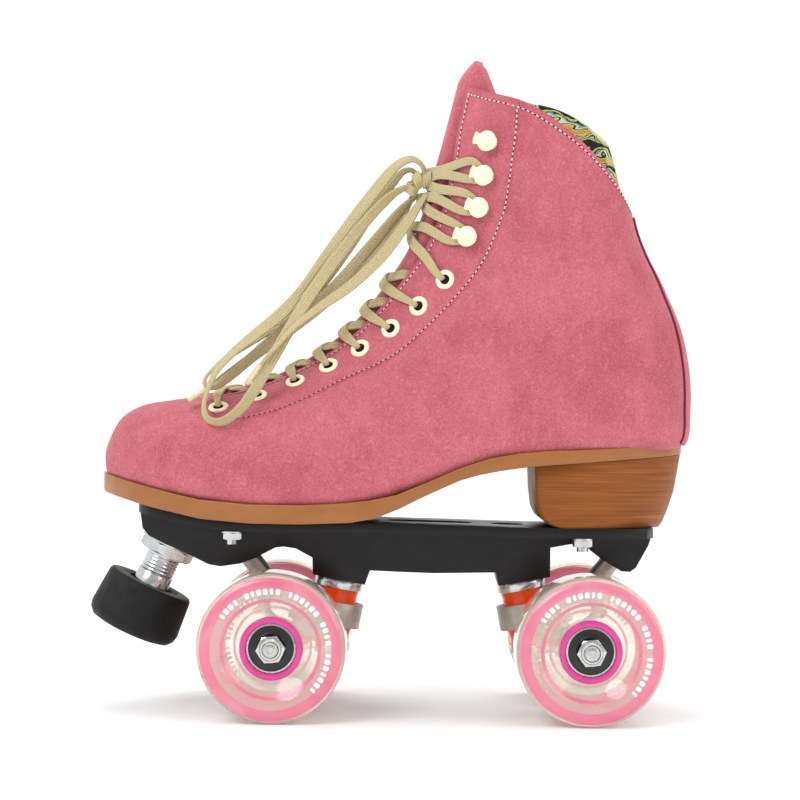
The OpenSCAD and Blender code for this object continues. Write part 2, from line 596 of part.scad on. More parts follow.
// ---- wheels
lip_r = 4.5;
module tyre() rotate_extrude($fn = 96) polygon(concat(
    [for (side = [-1, 1]) each let (half = [
        [hub_d / 2, 12], [17, 13.2], [21, 16], [24, wheel_w / 2], [wheel_d / 2 - lip_r - 1, wheel_w / 2],
        for (t = [15:15:75]) [wheel_d / 2 - lip_r + lip_r * sin(t), wheel_w / 2 - lip_r + lip_r * cos(t)],
        [wheel_d / 2, wheel_w / 2 - lip_r - 1]])
        side < 0 ? [for (p = half) [p[0], -p[1]]] : reversed(half)]));

module hub() rotate_extrude() polygon([[11, -hub_half], [13.4, -hub_half], [hub_d / 2, -12], [hub_d / 2, 12],
    [13.4, hub_half], [11, hub_half], [11, 5], [8, 5], [8, -5], [11, -5]]);

module bearings() for (side = [-1, 1]) translate([0, 0, side * (bearing_out - bearing_w / 2)]) rotate_extrude()
    polygon([[11, -3.5], [11, 3.5], [6.1, 3.5], [6.1, 3.1], [8.8, 3.1], [8.8, -3.1], [6.1, -3.1], [6.1, -3.5]]);

module balls() for (side = [-1, 1]) for (i = [0:6])
    translate([0, 0, side * (bearing_out - bearing_w / 2)]) rotate([0, 0, i * 360 / 7]) translate([7.25, 0, 0])
        sphere(r = 1.5);

module wheel_at(x, side) translate([x, side * wheel_y, axle_z]) rotate([90, 0, 0]) children();

module front_left_tyre() color(urethane) wheel_at(front_axle_x, -1) tyre();
module front_left_hub() color(magenta) wheel_at(front_axle_x, -1) hub();
module front_left_bearings() color(chrome) wheel_at(front_axle_x, -1) bearings();
module front_left_balls() color(chrome) wheel_at(front_axle_x, -1) balls();
module front_right_tyre() color(urethane) wheel_at(front_axle_x, 1) tyre();
module front_right_hub() color(magenta) wheel_at(front_axle_x, 1) hub();
module front_right_bearings() color(chrome) wheel_at(front_axle_x, 1) bearings();
module front_right_balls() color(chrome) wheel_at(front_axle_x, 1) balls();
module rear_left_tyre() color(urethane) wheel_at(rear_axle_x, -1) tyre();
module rear_left_hub() color(magenta) wheel_at(rear_axle_x, -1) hub();
module rear_left_bearings() color(chrome) wheel_at(rear_axle_x, -1) bearings();
module rear_left_balls() color(chrome) wheel_at(rear_axle_x, -1) balls();
module rear_right_tyre() color(urethane) wheel_at(rear_axle_x, 1) tyre();
module rear_right_hub() color(magenta) wheel_at(rear_axle_x, 1) hub();
module rear_right_bearings() color(chrome) wheel_at(rear_axle_x, 1) bearings();
module rear_right_balls() color(chrome) wheel_at(rear_axle_x, 1) balls();

// ---- toe stop: drawn along its stem, +Z down and forward from the plate's face
stop_face = [-100, 0, 74.6];
module stop_frame() translate(stop_face) rotate([0, 180 + stop_lean, 0]) children();

module toe_stop_washer() color(chrome) stop_frame() tube(13, 8.2, 0, 1.2);

module toe_stop_jam_nut() color(chrome) stop_frame() difference() {
    translate([0, 0, 1.2]) cylinder(r = 12.7, h = 4.8, $fn = 6);
    cylinder(d = stem_d + 0.1, h = 20);
}

module toe_stop_stem() color(chrome) stop_frame() translate([0, 0, -7]) cylinder(d = stem_d, h = 39);

module toe_stop_rubber() color(nylon) stop_frame() rotate_extrude($fn = 72)
    polygon([[0, 44.2], [15, 44.2], [18.6, 43.3], [20.6, 41], [stop_d / 2, 38], [stop_d / 2 - 0.2, 36],
        [19.9, 21.8], [19.2, 20.6], [10.5, 20.6], [10.5, 23], [stem_d / 2, 23], [stem_d / 2, 32], [0, 32]]);

upper();
tongue();
collar_lining();
heel_counter();
toe_puff();
insole();
backstay();
eyelets();
lace_hooks();
lace_under();
lace_over();
lace_knot();
bow_loop_left();
bow_loop_right();
lace_end_left();
lace_end_right();
aglets();
outsole();
heel_block();
plate();
plate_bolts();
plate_nuts();
plate_washers();
pivot_cups();
toe_stop_rubber();
toe_stop_stem();
toe_stop_jam_nut();
toe_stop_washer();
kingpins();
kingpin_lock_nuts();
cushion_retainers();
front_cushions();
rear_cushions();
front_hanger();
front_axle();
front_inner_races();
front_axle_washers();
front_axle_nuts();
rear_hanger();
rear_axle();
rear_inner_races();
rear_axle_washers();
rear_axle_nuts();
front_left_tyre();
front_left_hub();
front_left_bearings();
front_left_balls();
front_right_tyre();
front_right_hub();
front_right_bearings();
front_right_balls();
rear_left_tyre();
rear_left_hub();
rear_left_bearings();
rear_left_balls();
rear_right_tyre();
rear_right_hub();
rear_right_bearings();
rear_right_balls();
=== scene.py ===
"""Looks of the quad roller skate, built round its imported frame.

Frame: metres, +Z up, toe towards -X, the wearer's left towards -Y, floor at z = 0.
Tables and routes are in millimetres and are scaled by MM where a mesh is made.
"""
import math

import bmesh
import bpy
import numpy as np
from mathutils import Matrix, Vector


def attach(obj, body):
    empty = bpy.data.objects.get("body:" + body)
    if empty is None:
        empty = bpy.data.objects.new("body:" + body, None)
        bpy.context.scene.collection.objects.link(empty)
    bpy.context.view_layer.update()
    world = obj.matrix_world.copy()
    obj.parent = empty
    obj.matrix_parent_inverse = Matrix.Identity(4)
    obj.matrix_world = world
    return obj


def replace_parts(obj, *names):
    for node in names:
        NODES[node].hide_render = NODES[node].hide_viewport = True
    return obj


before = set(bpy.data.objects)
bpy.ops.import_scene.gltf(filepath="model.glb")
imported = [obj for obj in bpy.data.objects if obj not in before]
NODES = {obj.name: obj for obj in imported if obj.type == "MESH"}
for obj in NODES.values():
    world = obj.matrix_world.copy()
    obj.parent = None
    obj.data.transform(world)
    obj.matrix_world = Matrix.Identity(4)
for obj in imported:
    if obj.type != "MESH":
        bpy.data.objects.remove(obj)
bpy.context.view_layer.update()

MM = 0.001


# ---------------------------------------------------------------- camera, light and floor
CAMERA_AT = (0.0041, -1.050, 0.1407)
CAMERA_LENS = 103.4
CAMERA_ROLL = math.radians(-0.66)


def add_camera():
    camera = bpy.data.objects.new("camera", bpy.data.cameras.new("camera"))
    bpy.context.scene.collection.objects.link(camera)
    camera.location = CAMERA_AT
    camera.rotation_euler = (math.pi / 2, CAMERA_ROLL, 0)
    camera.data.lens = CAMERA_LENS
    camera.data.sensor_width = 36
    bpy.context.scene.camera = camera


def add_softbox(name, at, target, size, watts):
    """A rectangular area light that faces a point."""
    data = bpy.data.lights.new(name, "AREA")
    data.shape = "RECTANGLE"
    data.size, data.size_y = size
    data.energy = watts
    light = bpy.data.objects.new(name, data)
    bpy.context.scene.collection.objects.link(light)
    light.location = at
    light.rotation_euler = (Vector(target) - Vector(at)).to_track_quat("-Z", "Y").to_euler()


def add_studio():
    """White surroundings, darker in front of the object, with soft lights above and to both sides."""
    world = bpy.data.worlds.new("studio")
    bpy.context.scene.world = world
    world.use_nodes = True
    tree = world.node_tree
    coords = tree.nodes.new("ShaderNodeTexCoord")
    split = tree.nodes.new("ShaderNodeSeparateXYZ")
    ramp = tree.nodes.new("ShaderNodeMapRange")
    for key, number in (("From Min", -1.0), ("From Max", -0.1), ("To Min", 0.55), ("To Max", 1.12)):
        ramp.inputs[key].default_value = number
    background = tree.nodes["Background"]
    background.inputs["Color"].default_value = (1, 1, 1, 1)
    tree.links.new(coords.outputs["Generated"], split.inputs[0])
    tree.links.new(split.outputs["Y"], ramp.inputs["Value"])
    tree.links.new(ramp.outputs[0], background.inputs["Strength"])
    add_softbox("key", (-1.0, -1.3, 1.5), (0, 0, 0.12), (1.0, 0.8), 17)
    add_softbox("fill", (1.5, -1.1, 0.8), (0, 0, 0.12), (0.9, 0.9), 6)
    add_softbox("top", (0.1, 0.3, 1.9), (0, 0, 0.1), (1.5, 0.9), 8)
    bpy.context.scene.view_settings.view_transform = "Standard"


# ---------------------------------------------------------------- material building
WHITE = (1, 1, 1)


def rgb(r, g, b):
    """Linear colour from 8-bit display values."""
    linear = [v / 255 / 12.92 if v <= 10 else ((v / 255 + 0.055) / 1.055) ** 2.4 for v in (r, g, b)]
    return (*linear, 1)


class Surface:
    """A Principled material with short helpers for its procedural nodes."""

    def __init__(self, name, colour, roughness, **sockets):
        self.material = bpy.data.materials.new(name)
        self.material.use_nodes = True
        self.tree = self.material.node_tree
        self.bsdf = self.tree.nodes["Principled BSDF"]
        self.bsdf.inputs["Base Color"].default_value = colour
        self.bsdf.inputs["Roughness"].default_value = roughness
        for socket, value in sockets.items():
            self.bsdf.inputs[socket.replace("_", " ")].default_value = value
        self.coords = self.add("TexCoord")
        self.height = None

    def add(self, kind, **settings):
        node = self.tree.nodes.new("ShaderNode" + kind)
        for key, value in settings.items():
            if key in node.inputs:
                node.inputs[key].default_value = value
            else:
                setattr(node, key, value)
        return node

    def link(self, source, target):
        self.tree.links.new(source, target)

    def place(self, stretch=(1, 1, 1), space="Object"):
        """Object or UV coordinates, stretched along each axis."""
        mapping = self.add("Mapping", Scale=stretch)
        self.link(self.coords.outputs[space], mapping.inputs["Vector"])
        return mapping.outputs[0]

    def noise(self, scale, detail=3.0, stretch=(1, 1, 1), space="Object", distortion=0.0):
        node = self.add("TexNoise", Scale=scale, Detail=detail, Distortion=distortion)
        self.link(self.place(stretch, space), node.inputs["Vector"])
        return node.outputs[0]

    def cells(self, scale, stretch=(1, 1, 1), feature="F1", space="Object"):
        node = self.add("TexVoronoi", feature=feature, Scale=scale)
        self.link(self.place(stretch, space), node.inputs["Vector"])
        return node.outputs["Distance"]

    def waves(self, scale, axis="Z", distortion=0.0, stretch=(1, 1, 1), space="Object", detail_scale=1.0):
        node = self.add("TexWave", bands_direction=axis, Scale=scale, Distortion=distortion,
                        **{"Detail Scale": detail_scale})
        self.link(self.place(stretch, space), node.inputs["Vector"])
        return node.outputs["Fac"]

    def ramp(self, value, stops, smooth=True):
        node = self.add("ValToRGB")
        node.color_ramp.interpolation = "EASE" if smooth else "CONSTANT"
        elements = node.color_ramp.elements
        while len(elements) < len(stops):
            elements.new(0.5)
        for element, (at, colour) in zip(elements, stops):
            element.position = at
            element.color = colour if len(colour) == 4 else (*colour, 1)
        self.link(value, node.inputs["Fac"])
        return node.outputs["Color"]

    def grey(self, value, low, high, start=0.3, end=0.7):
        """A value rescaled from start..end to low..high, as a plain number."""
        node = self.add("MapRange", **{"From Min": start, "From Max": end, "To Min": low, "To Max": high})
        self.link(value, node.inputs["Value"])
        return node.outputs[0]

    def mix(self, a, b, share, how="MIX"):
        node = self.add("MixRGB", blend_type=how)
        for socket, value in (("Fac", share), ("Color1", a), ("Color2", b)):
            if isinstance(value, bpy.types.NodeSocket):
                self.link(value, node.inputs[socket])
            else:
                node.inputs[socket].default_value = value
        return node.outputs["Color"]

    def shade(self, base, value, dark, share, start=0.3, end=0.7):
        """A colour multiplied by a tint that runs from dark to white along a value."""
        return self.mix(base, self.ramp(value, [(start, dark), (end, WHITE)]), share, "MULTIPLY")

    def colour(self, output):
        self.link(output, self.bsdf.inputs["Base Color"])
        return self

    def rough(self, output):
        self.link(output, self.bsdf.inputs["Roughness"])
        return self

    def bump(self, value, depth_mm, strength=1.0):
        """Adds a layer of relief on top of the layers added before it."""
        node = self.add("Bump", Strength=strength, Distance=depth_mm * MM)
        self.link(value, node.inputs["Height"])
        if self.height is not None:
            self.link(self.height, node.inputs["Normal"])
        self.height = node.outputs[0]
        self.link(self.height, self.bsdf.inputs["Normal"])
        return self


def speckle(s, colour, scale, spread):
    """A colour that wanders lighter and darker by the given share."""
    dark = tuple(c * (1 - spread) for c in colour[:3]) + (1,)
    light = tuple(min(1, c * (1 + spread)) for c in colour[:3]) + (1,)
    return s.ramp(s.noise(scale, 4), [(0.3, dark), (0.7, light)])


def plain(name, colour, roughness, speck, bumps, rough=None, **sockets):
    """A speckled material.

    speck is (scale, spread), each of the bumps is (scale, detail, depth in mm, strength), and rough, which
    makes the roughness uneven, is (scale, detail, low, high).
    """
    s = Surface(name, colour, roughness, **sockets)
    s.colour(speckle(s, colour, *speck))
    if rough:
        s.rough(s.grey(s.noise(*rough[:2]), *rough[2:]))
    for scale, detail, depth_mm, strength in bumps:
        s.bump(s.noise(scale, detail), depth_mm, strength)
    return s.material


def suede():
    s = Surface("suede", rgb(210, 112, 127), 0.95, Sheen_Weight=0.25, Sheen_Roughness=0.4,
                Sheen_Tint=rgb(255, 214, 220), Specular_IOR_Level=0.15)
    patches = s.ramp(s.noise(42, 6, distortion=0.6), [(0.30, rgb(184, 96, 106)), (0.72, rgb(199, 111, 121))])
    brushed = s.shade(patches, s.noise(230, 4, (1, 1, 0.6)), (0.93, 0.91, 0.92), 1.0)
    napped = s.shade(brushed, s.noise(1150, 4), (0.80, 0.74, 0.76), 0.8, 0.36, 0.58)
    flecks = s.ramp(s.noise(760, 4), [(0.52, (0, 0, 0)), (0.70, WHITE)])
    s.colour(s.mix(napped, rgb(222, 148, 158), s.grey(flecks, 0.0, 0.24, 0.0, 1.0)))
    return s.bump(s.noise(1250, 4), 0.32, 0.75).bump(s.noise(260, 3), 0.35, 0.3).material


def suede_edge():
    """The cut edge of the suede."""
    return plain("suede_edge", rgb(190, 92, 108), 1.0, (900, 0.25), [(1500, 3, 0.3, 0.8)],
                 Specular_IOR_Level=0.1)


def lining_leather():
    s = Surface("lining_leather", rgb(196, 166, 128), 0.7)
    s.colour(speckle(s, rgb(196, 166, 128), 90, 0.12))
    return s.bump(s.cells(900), 0.12, 0.6).material


def printed_cotton():
    """A generic print: leaf-like bands of yellow-green, cream, teal and orange on near black."""
    s = Surface("printed_cotton", rgb(40, 44, 36), 0.85, Sheen_Weight=0.2)
    leaves = s.ramp(s.waves(34, "DIAGONAL", 4.5, (1, 1, 1.6), detail_scale=2.0), [
        (0.0, rgb(24, 30, 38)), (0.14, rgb(206, 218, 92)), (0.34, rgb(28, 34, 40)),
        (0.46, rgb(120, 184, 188)), (0.58, rgb(240, 234, 208)), (0.72, rgb(28, 36, 44)),
        (0.82, rgb(214, 222, 110)), (0.93, rgb(232, 168, 90))], smooth=False)
    spots = s.grey(s.cells(120), 1.0, 0.0, 0.18, 0.24)
    s.colour(s.shade(s.mix(leaves, rgb(226, 130, 60), spots), s.noise(1800, 2), (0.8, 0.8, 0.8), 0.7))
    weave = s.mix(s.waves(1500, "X"), s.waves(1500, "Z"), 0.5)
    return s.bump(weave, 0.08, 0.6).material


def thread():
    """Sewing thread, white at the top of the boot and turning to the suede's colour lower down."""
    s = Surface("thread", rgb(240, 200, 204), 0.7, Sheen_Weight=0.2)
    split = s.add("SeparateXYZ")
    s.link(s.coords.outputs["Object"], split.inputs[0])
    by_height = s.mix(rgb(206, 128, 138), rgb(252, 228, 228), s.grey(split.outputs["Z"], 0.0, 1.0, 0.135, 0.205))
    s.colour(s.shade(by_height, s.noise(2600, 3), (0.84, 0.84, 0.84), 0.8))
    return s.bump(s.waves(1600, "DIAGONAL"), 0.08, 0.7).material


def shadow_cloth(name, colour):
    """Painted shade: thread and suede coloured dark for the shade inside a seam, a needle hole or an eyelet."""
    return plain(name, colour, 0.9, (1800, 0.2), [(1500, 2, 0.08, 0.5)], Specular_IOR_Level=0.1)


def aglet_film():
    s = Surface("aglet_film", rgb(206, 190, 146), 0.3, Coat_Weight=0.4)
    s.colour(speckle(s, rgb(206, 190, 146), 900, 0.1))
    return s.bump(s.waves(700, "DIAGONAL"), 0.05, 0.4).material


def lace_cotton():
    """Flat woven lace: U runs along it in weave repeats, V across it."""
    s = Surface("lace_cotton", rgb(200, 184, 138), 0.85, Sheen_Weight=0.2, Sheen_Tint=rgb(255, 244, 210),
                Specular_IOR_Level=0.2)
    yarn = s.waves(1.0, "X", 0.4, (1.0, 0.0, 0.0), "UV")
    fine = s.waves(3.4, "Y", 0.0, (0.0, 1.0, 0.0), "UV")
    picks = s.mix(yarn, fine, 0.35)
    tone = s.ramp(picks, [(0.10, rgb(162, 147, 105)), (0.45, rgb(192, 178, 137)), (0.9, rgb(206, 194, 156))])
    s.colour(s.shade(tone, s.noise(900, 3), (0.86, 0.84, 0.80), 0.6))
    return s.bump(picks, 0.16, 0.7).bump(s.noise(3000, 2), 0.05, 0.6).material


def cream_enamel():
    return plain("cream_enamel", rgb(248, 240, 200), 0.28, (260, 0.03), [(420, 2, 0.03, 0.3)],
                 rough=(700, 3, 0.22, 0.38), Coat_Weight=0.5, Coat_Roughness=0.15)


def sole_leather():
    s = Surface("sole_leather", rgb(152, 93, 38), 0.42, Coat_Weight=0.12, Coat_Roughness=0.4)
    base = s.ramp(s.noise(60, 4, (1, 1, 3)), [(0.3, rgb(148, 90, 36)), (0.7, rgb(154, 96, 41))])
    s.colour(s.shade(base, s.noise(420, 4, (0.5, 0.5, 1.5)), (0.97, 0.965, 0.96), 0.8, 0.35, 0.6))
    s.rough(s.grey(s.noise(160, 4), 0.34, 0.52))
    return s.bump(s.cells(1400), 0.05, 0.4).bump(s.noise(90, 2, (1, 1, 4)), 0.25, 0.25).material


def stacked_heel():
    """Leather lifts: thin level layers with a fine streaked grain."""
    s = Surface("stacked_heel", rgb(138, 77, 23), 0.5, Specular_IOR_Level=0.28)
    grain = s.ramp(s.noise(1500, 4, (0.02, 0.02, 1.0)),
                   [(0.32, rgb(124, 66, 20)), (0.52, rgb(138, 77, 23)), (0.74, rgb(156, 97, 38))])
    broad = s.shade(grain, s.noise(24, 2, (1.4, 1, 0.1)), (0.92, 0.90, 0.89), 0.9, 0.3, 0.62)
    s.colour(s.shade(broad, s.waves(52, "Z", 0.1), (0.78, 0.74, 0.70), 0.35, 0.0, 0.05))
    return s.bump(s.noise(900, 4, (0.025, 0.025, 1.0)), 0.12, 0.5).material


def nylon():
    return plain("nylon", rgb(9, 9, 9), 0.36, (140, 0.12), [(2600, 2, 0.05, 0.4), (70, 2, 0.15, 0.15)],
                 rough=(300, 3, 0.30, 0.44), Specular_IOR_Level=0.32)


def rubber(name, colour):
    return plain(name, colour, 0.55, (120, 0.15), [(1800, 3, 0.06, 0.5)], rough=(220, 4, 0.52, 0.72),
                 Specular_IOR_Level=0.32)


def metal(name, colour, roughness):
    return plain(name, colour, roughness, (220, 0.08), [(1500, 3, 0.02, 0.5)],
                 rough=(380, 4, roughness * 0.75, roughness * 1.3), Metallic=1.0)


def cast_metal():
    return plain("cast_metal", rgb(172, 167, 158), 0.45, (160, 0.12),
                 [(1100, 4, 0.12, 0.6), (120, 2, 0.3, 0.25)], rough=(260, 4, 0.36, 0.58), Metallic=0.85)


def clear_urethane():
    # Painted glow: the faint emission brightens the clear tyre as if light shone through it.
    return plain("clear_urethane", rgb(240, 236, 222), 0.08, (60, 0.03), [(45, 2, 0.10, 0.12)],
                 rough=(120, 3, 0.06, 0.12), Transmission_Weight=0.72, IOR=1.36, Coat_Weight=0.25,
                 Emission_Color=rgb(236, 232, 212), Emission_Strength=0.05)


def cushion_urethane():
    # Painted glow: the emission brightens the cushion as if light shone through it.
    return plain("cushion_urethane", rgb(228, 66, 3), 0.2, (120, 0.15), [(300, 2, 0.05, 0.3)],
                 Transmission_Weight=0.2, Specular_IOR_Level=0.3, Emission_Color=rgb(236, 84, 4),
                 Emission_Strength=0.12)


def pink_band():
    """A translucent tint, stronger in some places than in others, with a painted glow that keeps it bright in
    shade, as if lit through.
    """
    s = Surface("pink_band", rgb(240, 132, 162), 0.25, Coat_Weight=0.4, Coat_Roughness=0.08,
                Transmission_Weight=0.5, Emission_Color=rgb(228, 136, 164), Emission_Strength=0.2)
    s.colour(s.ramp(s.noise(38, 3, distortion=0.8),
                    [(0.30, rgb(220, 104, 140)), (0.5, rgb(226, 130, 154)), (0.72, rgb(228, 162, 176))]))
    return s.bump(s.noise(200, 2), 0.02, 0.2).material


def printed_ink():
    return plain("white_ink", rgb(250, 246, 248), 0.3, (90, 0.06), [(200, 2, 0.02, 0.2)], Coat_Weight=0.4,
                 Coat_Roughness=0.08)


def hub_plastic():
    return plain("hub_plastic", rgb(214, 48, 144), 0.25, (110, 0.07), [(260, 2, 0.03, 0.3)], Coat_Weight=0.4)


def black_shield():
    return plain("black_shield", rgb(24, 24, 26), 0.3, (200, 0.15), [(900, 2, 0.03, 0.4)])


def floor_paint():
    s = Surface("floor_paint", (0.97, 0.97, 0.97, 1), 0.6, Specular_IOR_Level=0.1)
    s.colour(s.ramp(s.noise(3, 2), [(0.3, (0.965, 0.965, 0.965)), (0.7, (0.975, 0.975, 0.975))]))
    return s.material


# ---------------------------------------------------------------- mesh building
def unit(v):
    return v / np.maximum(np.linalg.norm(v, axis=-1, keepdims=True), 1e-12)


def new_piece(name, points_mm, faces, *materials, slot, body="root", uvs=None, kinds=None, angle=40):
    """A mesh piece that rides on a body; faces past the angle keep a sharp edge between them."""
    mesh = bpy.data.meshes.new(name)
    mesh.from_pydata([tuple(p) for p in np.asarray(points_mm) * MM], [], faces)
    for material in materials:
        mesh.materials.append(material)
    if kinds is not None:
        mesh.polygons.foreach_set("material_index", kinds)
    if uvs is not None:
        layer = mesh.uv_layers.new(name="along")
        loops = np.empty(len(mesh.loops), int)
        mesh.loops.foreach_get("vertex_index", loops)
        layer.data.foreach_set("uv", np.asarray(uvs, float)[loops].ravel())
    tidy = bmesh.new()
    tidy.from_mesh(mesh)
    bmesh.ops.remove_doubles(tidy, verts=tidy.verts, dist=2e-6)
    bmesh.ops.dissolve_degenerate(tidy, edges=tidy.edges, dist=1e-6)
    bmesh.ops.recalc_face_normals(tidy, faces=tidy.faces)
    tidy.to_mesh(mesh)
    tidy.free()
    mesh.polygons.foreach_set("use_smooth", [True] * len(mesh.polygons))
    mesh.set_sharp_from_angle(angle=math.radians(angle))
    piece = bpy.data.objects.new(name, mesh)
    bpy.context.scene.collection.objects.link(piece)
    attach(piece, body)
    return piece


def add_bevel(piece, width_mm, segments=2, angle=40):
    """Rounds the edges sharper than the angle."""
    bevel = piece.modifiers.new("rounded_edges", "BEVEL")
    bevel.width = width_mm * MM
    bevel.segments = segments
    bevel.limit_method = "ANGLE"
    bevel.angle_limit = math.radians(angle)
    bevel.harden_normals = True
    return piece


class Parts:
    """Collects points and faces of several closed forms for one mesh."""

    def __init__(self):
        self.points, self.faces, self.uvs = [], [], []

    def take(self, points, faces, uvs=None):
        start = len(self.points)
        points = np.asarray(points, float).reshape(-1, 3)
        self.points.extend(points)
        self.faces.extend([tuple(start + i for i in face) for face in faces])
        self.uvs.extend(uvs if uvs is not None else [(0.0, 0.0)] * len(points))

    def carry(self, form, matrix):
        """Takes a form of points and faces carried by a matrix in millimetres."""
        points, *rest = form
        self.take(moved(points, matrix), *rest)

    def stand(self, form, at, direction, turn=0.0):
        """Takes a form turned about its Z and stood with it along a direction at a point."""
        self.carry(form, facing(at, direction) @ Matrix.Rotation(turn, 4, "Z"))

    def piece(self, name, *materials, **about):
        return new_piece(name, self.points, self.faces, *materials, uvs=self.uvs, **about)


def circle(count):
    """Angles of evenly spaced points round a full turn."""
    return np.linspace(0, 2 * math.pi, count, endpoint=False)


def run_along(line):
    """Distance from the start of a line to each of its points."""
    return np.concatenate([[0], np.cumsum(np.linalg.norm(np.diff(line, axis=0), axis=1))])


def grid_faces(rows, cols, closed=False, start=0):
    """Quads of a grid of points; closed joins the last column to the first."""
    faces = []
    for i in range(rows - 1):
        for j in range(cols if closed else cols - 1):
            k = (j + 1) % cols
            faces.append((start + i * cols + j, start + i * cols + k,
                          start + (i + 1) * cols + k, start + (i + 1) * cols + j))
    return faces


def tube_faces(rows, cols, turn=1):
    """Faces of a closed tube with flat ends; turn is -1 where its rings run the other way round."""
    first, last = range(cols), range((rows - 1) * cols, rows * cols)
    return grid_faces(rows, cols, closed=True) + [tuple(first[::turn]), tuple(last[::-turn])]


def turned_faces(rows, sides, closed=True):
    """Faces of rings of points turned round Z; closed joins the last ring to the first."""
    faces = grid_faces(rows, sides, closed=True)
    if closed:
        last = (rows - 1) * sides
        faces += [(last + j, last + (j + 1) % sides, (j + 1) % sides, j) for j in range(sides)]
    return faces


def sheet_between(outer, inner):
    """Points and faces of the closed form between two grids of points."""
    rows, cols = outer.shape[:2]
    count = rows * cols
    faces = grid_faces(rows, cols) + [f[::-1] for f in grid_faces(rows, cols, start=count)]
    rim = [i * cols for i in range(rows)] + [(rows - 1) * cols + j for j in range(1, cols)]
    rim += [i * cols + cols - 1 for i in range(rows - 2, -1, -1)] + list(range(cols - 2, 0, -1))
    for a, b in zip(rim, rim[1:] + rim[:1]):
        faces.append((a, a + count, b + count, b))
    return np.concatenate([outer.reshape(-1, 3), inner.reshape(-1, 3)]), faces


def sweep(centres, sides, ups, profile, along_repeat=1.0):
    """Closed tube of one profile per centre: profile is a list of (across, up) arrays in mm."""
    n, m = len(centres), len(profile[0])
    points = np.concatenate([c + s * p[:, :1] + u * p[:, 1:]
                             for c, s, u, p in zip(centres, sides, ups, profile)])
    uvs = [(along, around) for along in run_along(centres) / along_repeat for around in np.arange(m) / m]
    return points, tube_faces(n, m), uvs


def spline(a, b, c, d, f):
    """Catmull-Rom value at a share f of the way from b to c."""
    return b + 0.5 * f * ((c - a) + f * ((2 * a - 5 * b + 4 * c - d) + f * (3 * (b - c) + d - a)))


def smooth_line(points, count):
    """Evenly spaced points on a Catmull-Rom curve through the given ones, of any width."""
    p = np.asarray(points, float)
    p = np.vstack([2 * p[0] - p[1], p, 2 * p[-1] - p[-2]])
    fine = []
    for i in range(1, len(p) - 2):
        for f in np.linspace(0, 1, 24, endpoint=False):
            fine.append(spline(*p[i - 1:i + 3], f))
    fine = np.array(fine + [p[-2]])
    run = run_along(fine[:, :3])
    at = np.linspace(0, run[-1], count)
    return np.stack([np.interp(at, run, fine[:, k]) for k in range(fine.shape[1])], axis=1)


def lathe(profile, sides=72, closed=True):
    """Points and faces of a form turned round Z; profile is (radius, z) pairs in mm."""
    points = np.array([[(r * math.cos(t), r * math.sin(t), z) for t in circle(sides)] for r, z in profile])
    return points.reshape(-1, 3), turned_faces(len(profile), sides, closed)


def moved(points, matrix):
    """Points carried by a 4 by 4 matrix in millimetres."""
    m = np.array(matrix)
    return np.asarray(points) @ m[:3, :3].T + m[:3, 3]


def facing(at, direction):
    """Matrix that stands a form's Z along a direction at a point, in millimetres."""
    return Matrix.Translation(Vector(at)) @ Vector(direction).to_track_quat("Z", "Y").to_matrix().to_4x4()


# ---------------------------------------------------------------- the boot's form, as in the frame's source
# instep x, z; back x, z; half width; centre y; share behind the widest point; roundness front, back
LAST = np.array([
    [29.6, 284.8, 109, 232, 37, 0, 0.50, 2.0, 2.1], [24.8, 265.3, 112, 219, 36.5, 0, 0.50, 2.0, 2.1],
    [20, 247, 117, 205, 36, 0, 0.50, 2.0, 2.1], [15, 228, 124, 190, 35.5, 0, 0.50, 2.0, 2.1],
    [8, 209.5, 131, 174, 35, 0, 0.49, 2.0, 2.1], [-1, 195, 135, 156, 34.5, 0, 0.47, 2.0, 2.2],
    [-11, 181.5, 135.5, 138, 34, 0, 0.45, 2.0, 2.5], [-20.5, 171.5, 132, 121.5, 34, -0.5, 0.42, 2.0, 3.5],
    [-30, 163.5, 113, 118.8, 34, -1, 0.38, 2.0, 6], [-39, 157.5, 82, 117, 35, -1.5, 0.36, 2.0, 8],
    [-48, 152.5, 48, 113.8, 36.5, -2, 0.34, 2.0, 8], [-59, 148, 16, 102.3, 40, -2, 0.32, 2.1, 8],
    [-72, 144, -14, 93.4, 44, -1.5, 0.32, 2.2, 8], [-86, 141.5, -45, 91.7, 46, 0, 0.33, 2.3, 8],
    [-100, 139.5, -74, 92.7, 44.5, 2, 0.36, 2.3, 7], [-113, 137, -98, 96.3, 38.5, 3.5, 0.40, 2.3, 6],
    [-123, 131, -117, 100.8, 28.5, 5, 0.45, 2.3, 4.5], [-129, 120, -127.5, 104, 15, 6, 0.50, 2.2, 3],
    [-130.3, 114, -130, 108, 5, 6, 0.50, 2, 2]])
TOE_TIP = len(LAST) - 1
RISE_OUTER, RISE_INNER, BACK_DIP, COLLAR_DEPTH = 8, 26, 7, 2.5
THROAT = [24, 25, 29, 29, 25, 21, 18, 16, 15, 14, 14, 15, 15, 11]
THROAT_END = 13.2
SKIN, LINING, TONGUE = 2.4, 1.2, 3.6
FACING = 0.3                   # thickness of a facing over the skin
EDGE_BACK = 0.4                # degrees from the lacing opening to the facing's edge


def blend_rows(u):
    """The rows of LAST blended to any section."""
    i = np.clip(np.floor(u).astype(int), 0, len(LAST) - 2)
    f = (u - i)[..., None]
    b, c = LAST[i], LAST[i + 1]
    a = np.where((i > 0)[..., None], LAST[np.maximum(i - 1, 0)], 2 * b - c)
    d = np.where((i + 2 < len(LAST))[..., None], LAST[np.minimum(i + 2, len(LAST) - 1)], 2 * c - b)
    return spline(a, b, c, d, f)


def signed_pow(v, e):
    return np.sign(v) * np.abs(v) ** e


def smoothstep(x):
    x = np.clip(x, 0, 1)
    return x * x * (3 - 2 * x)


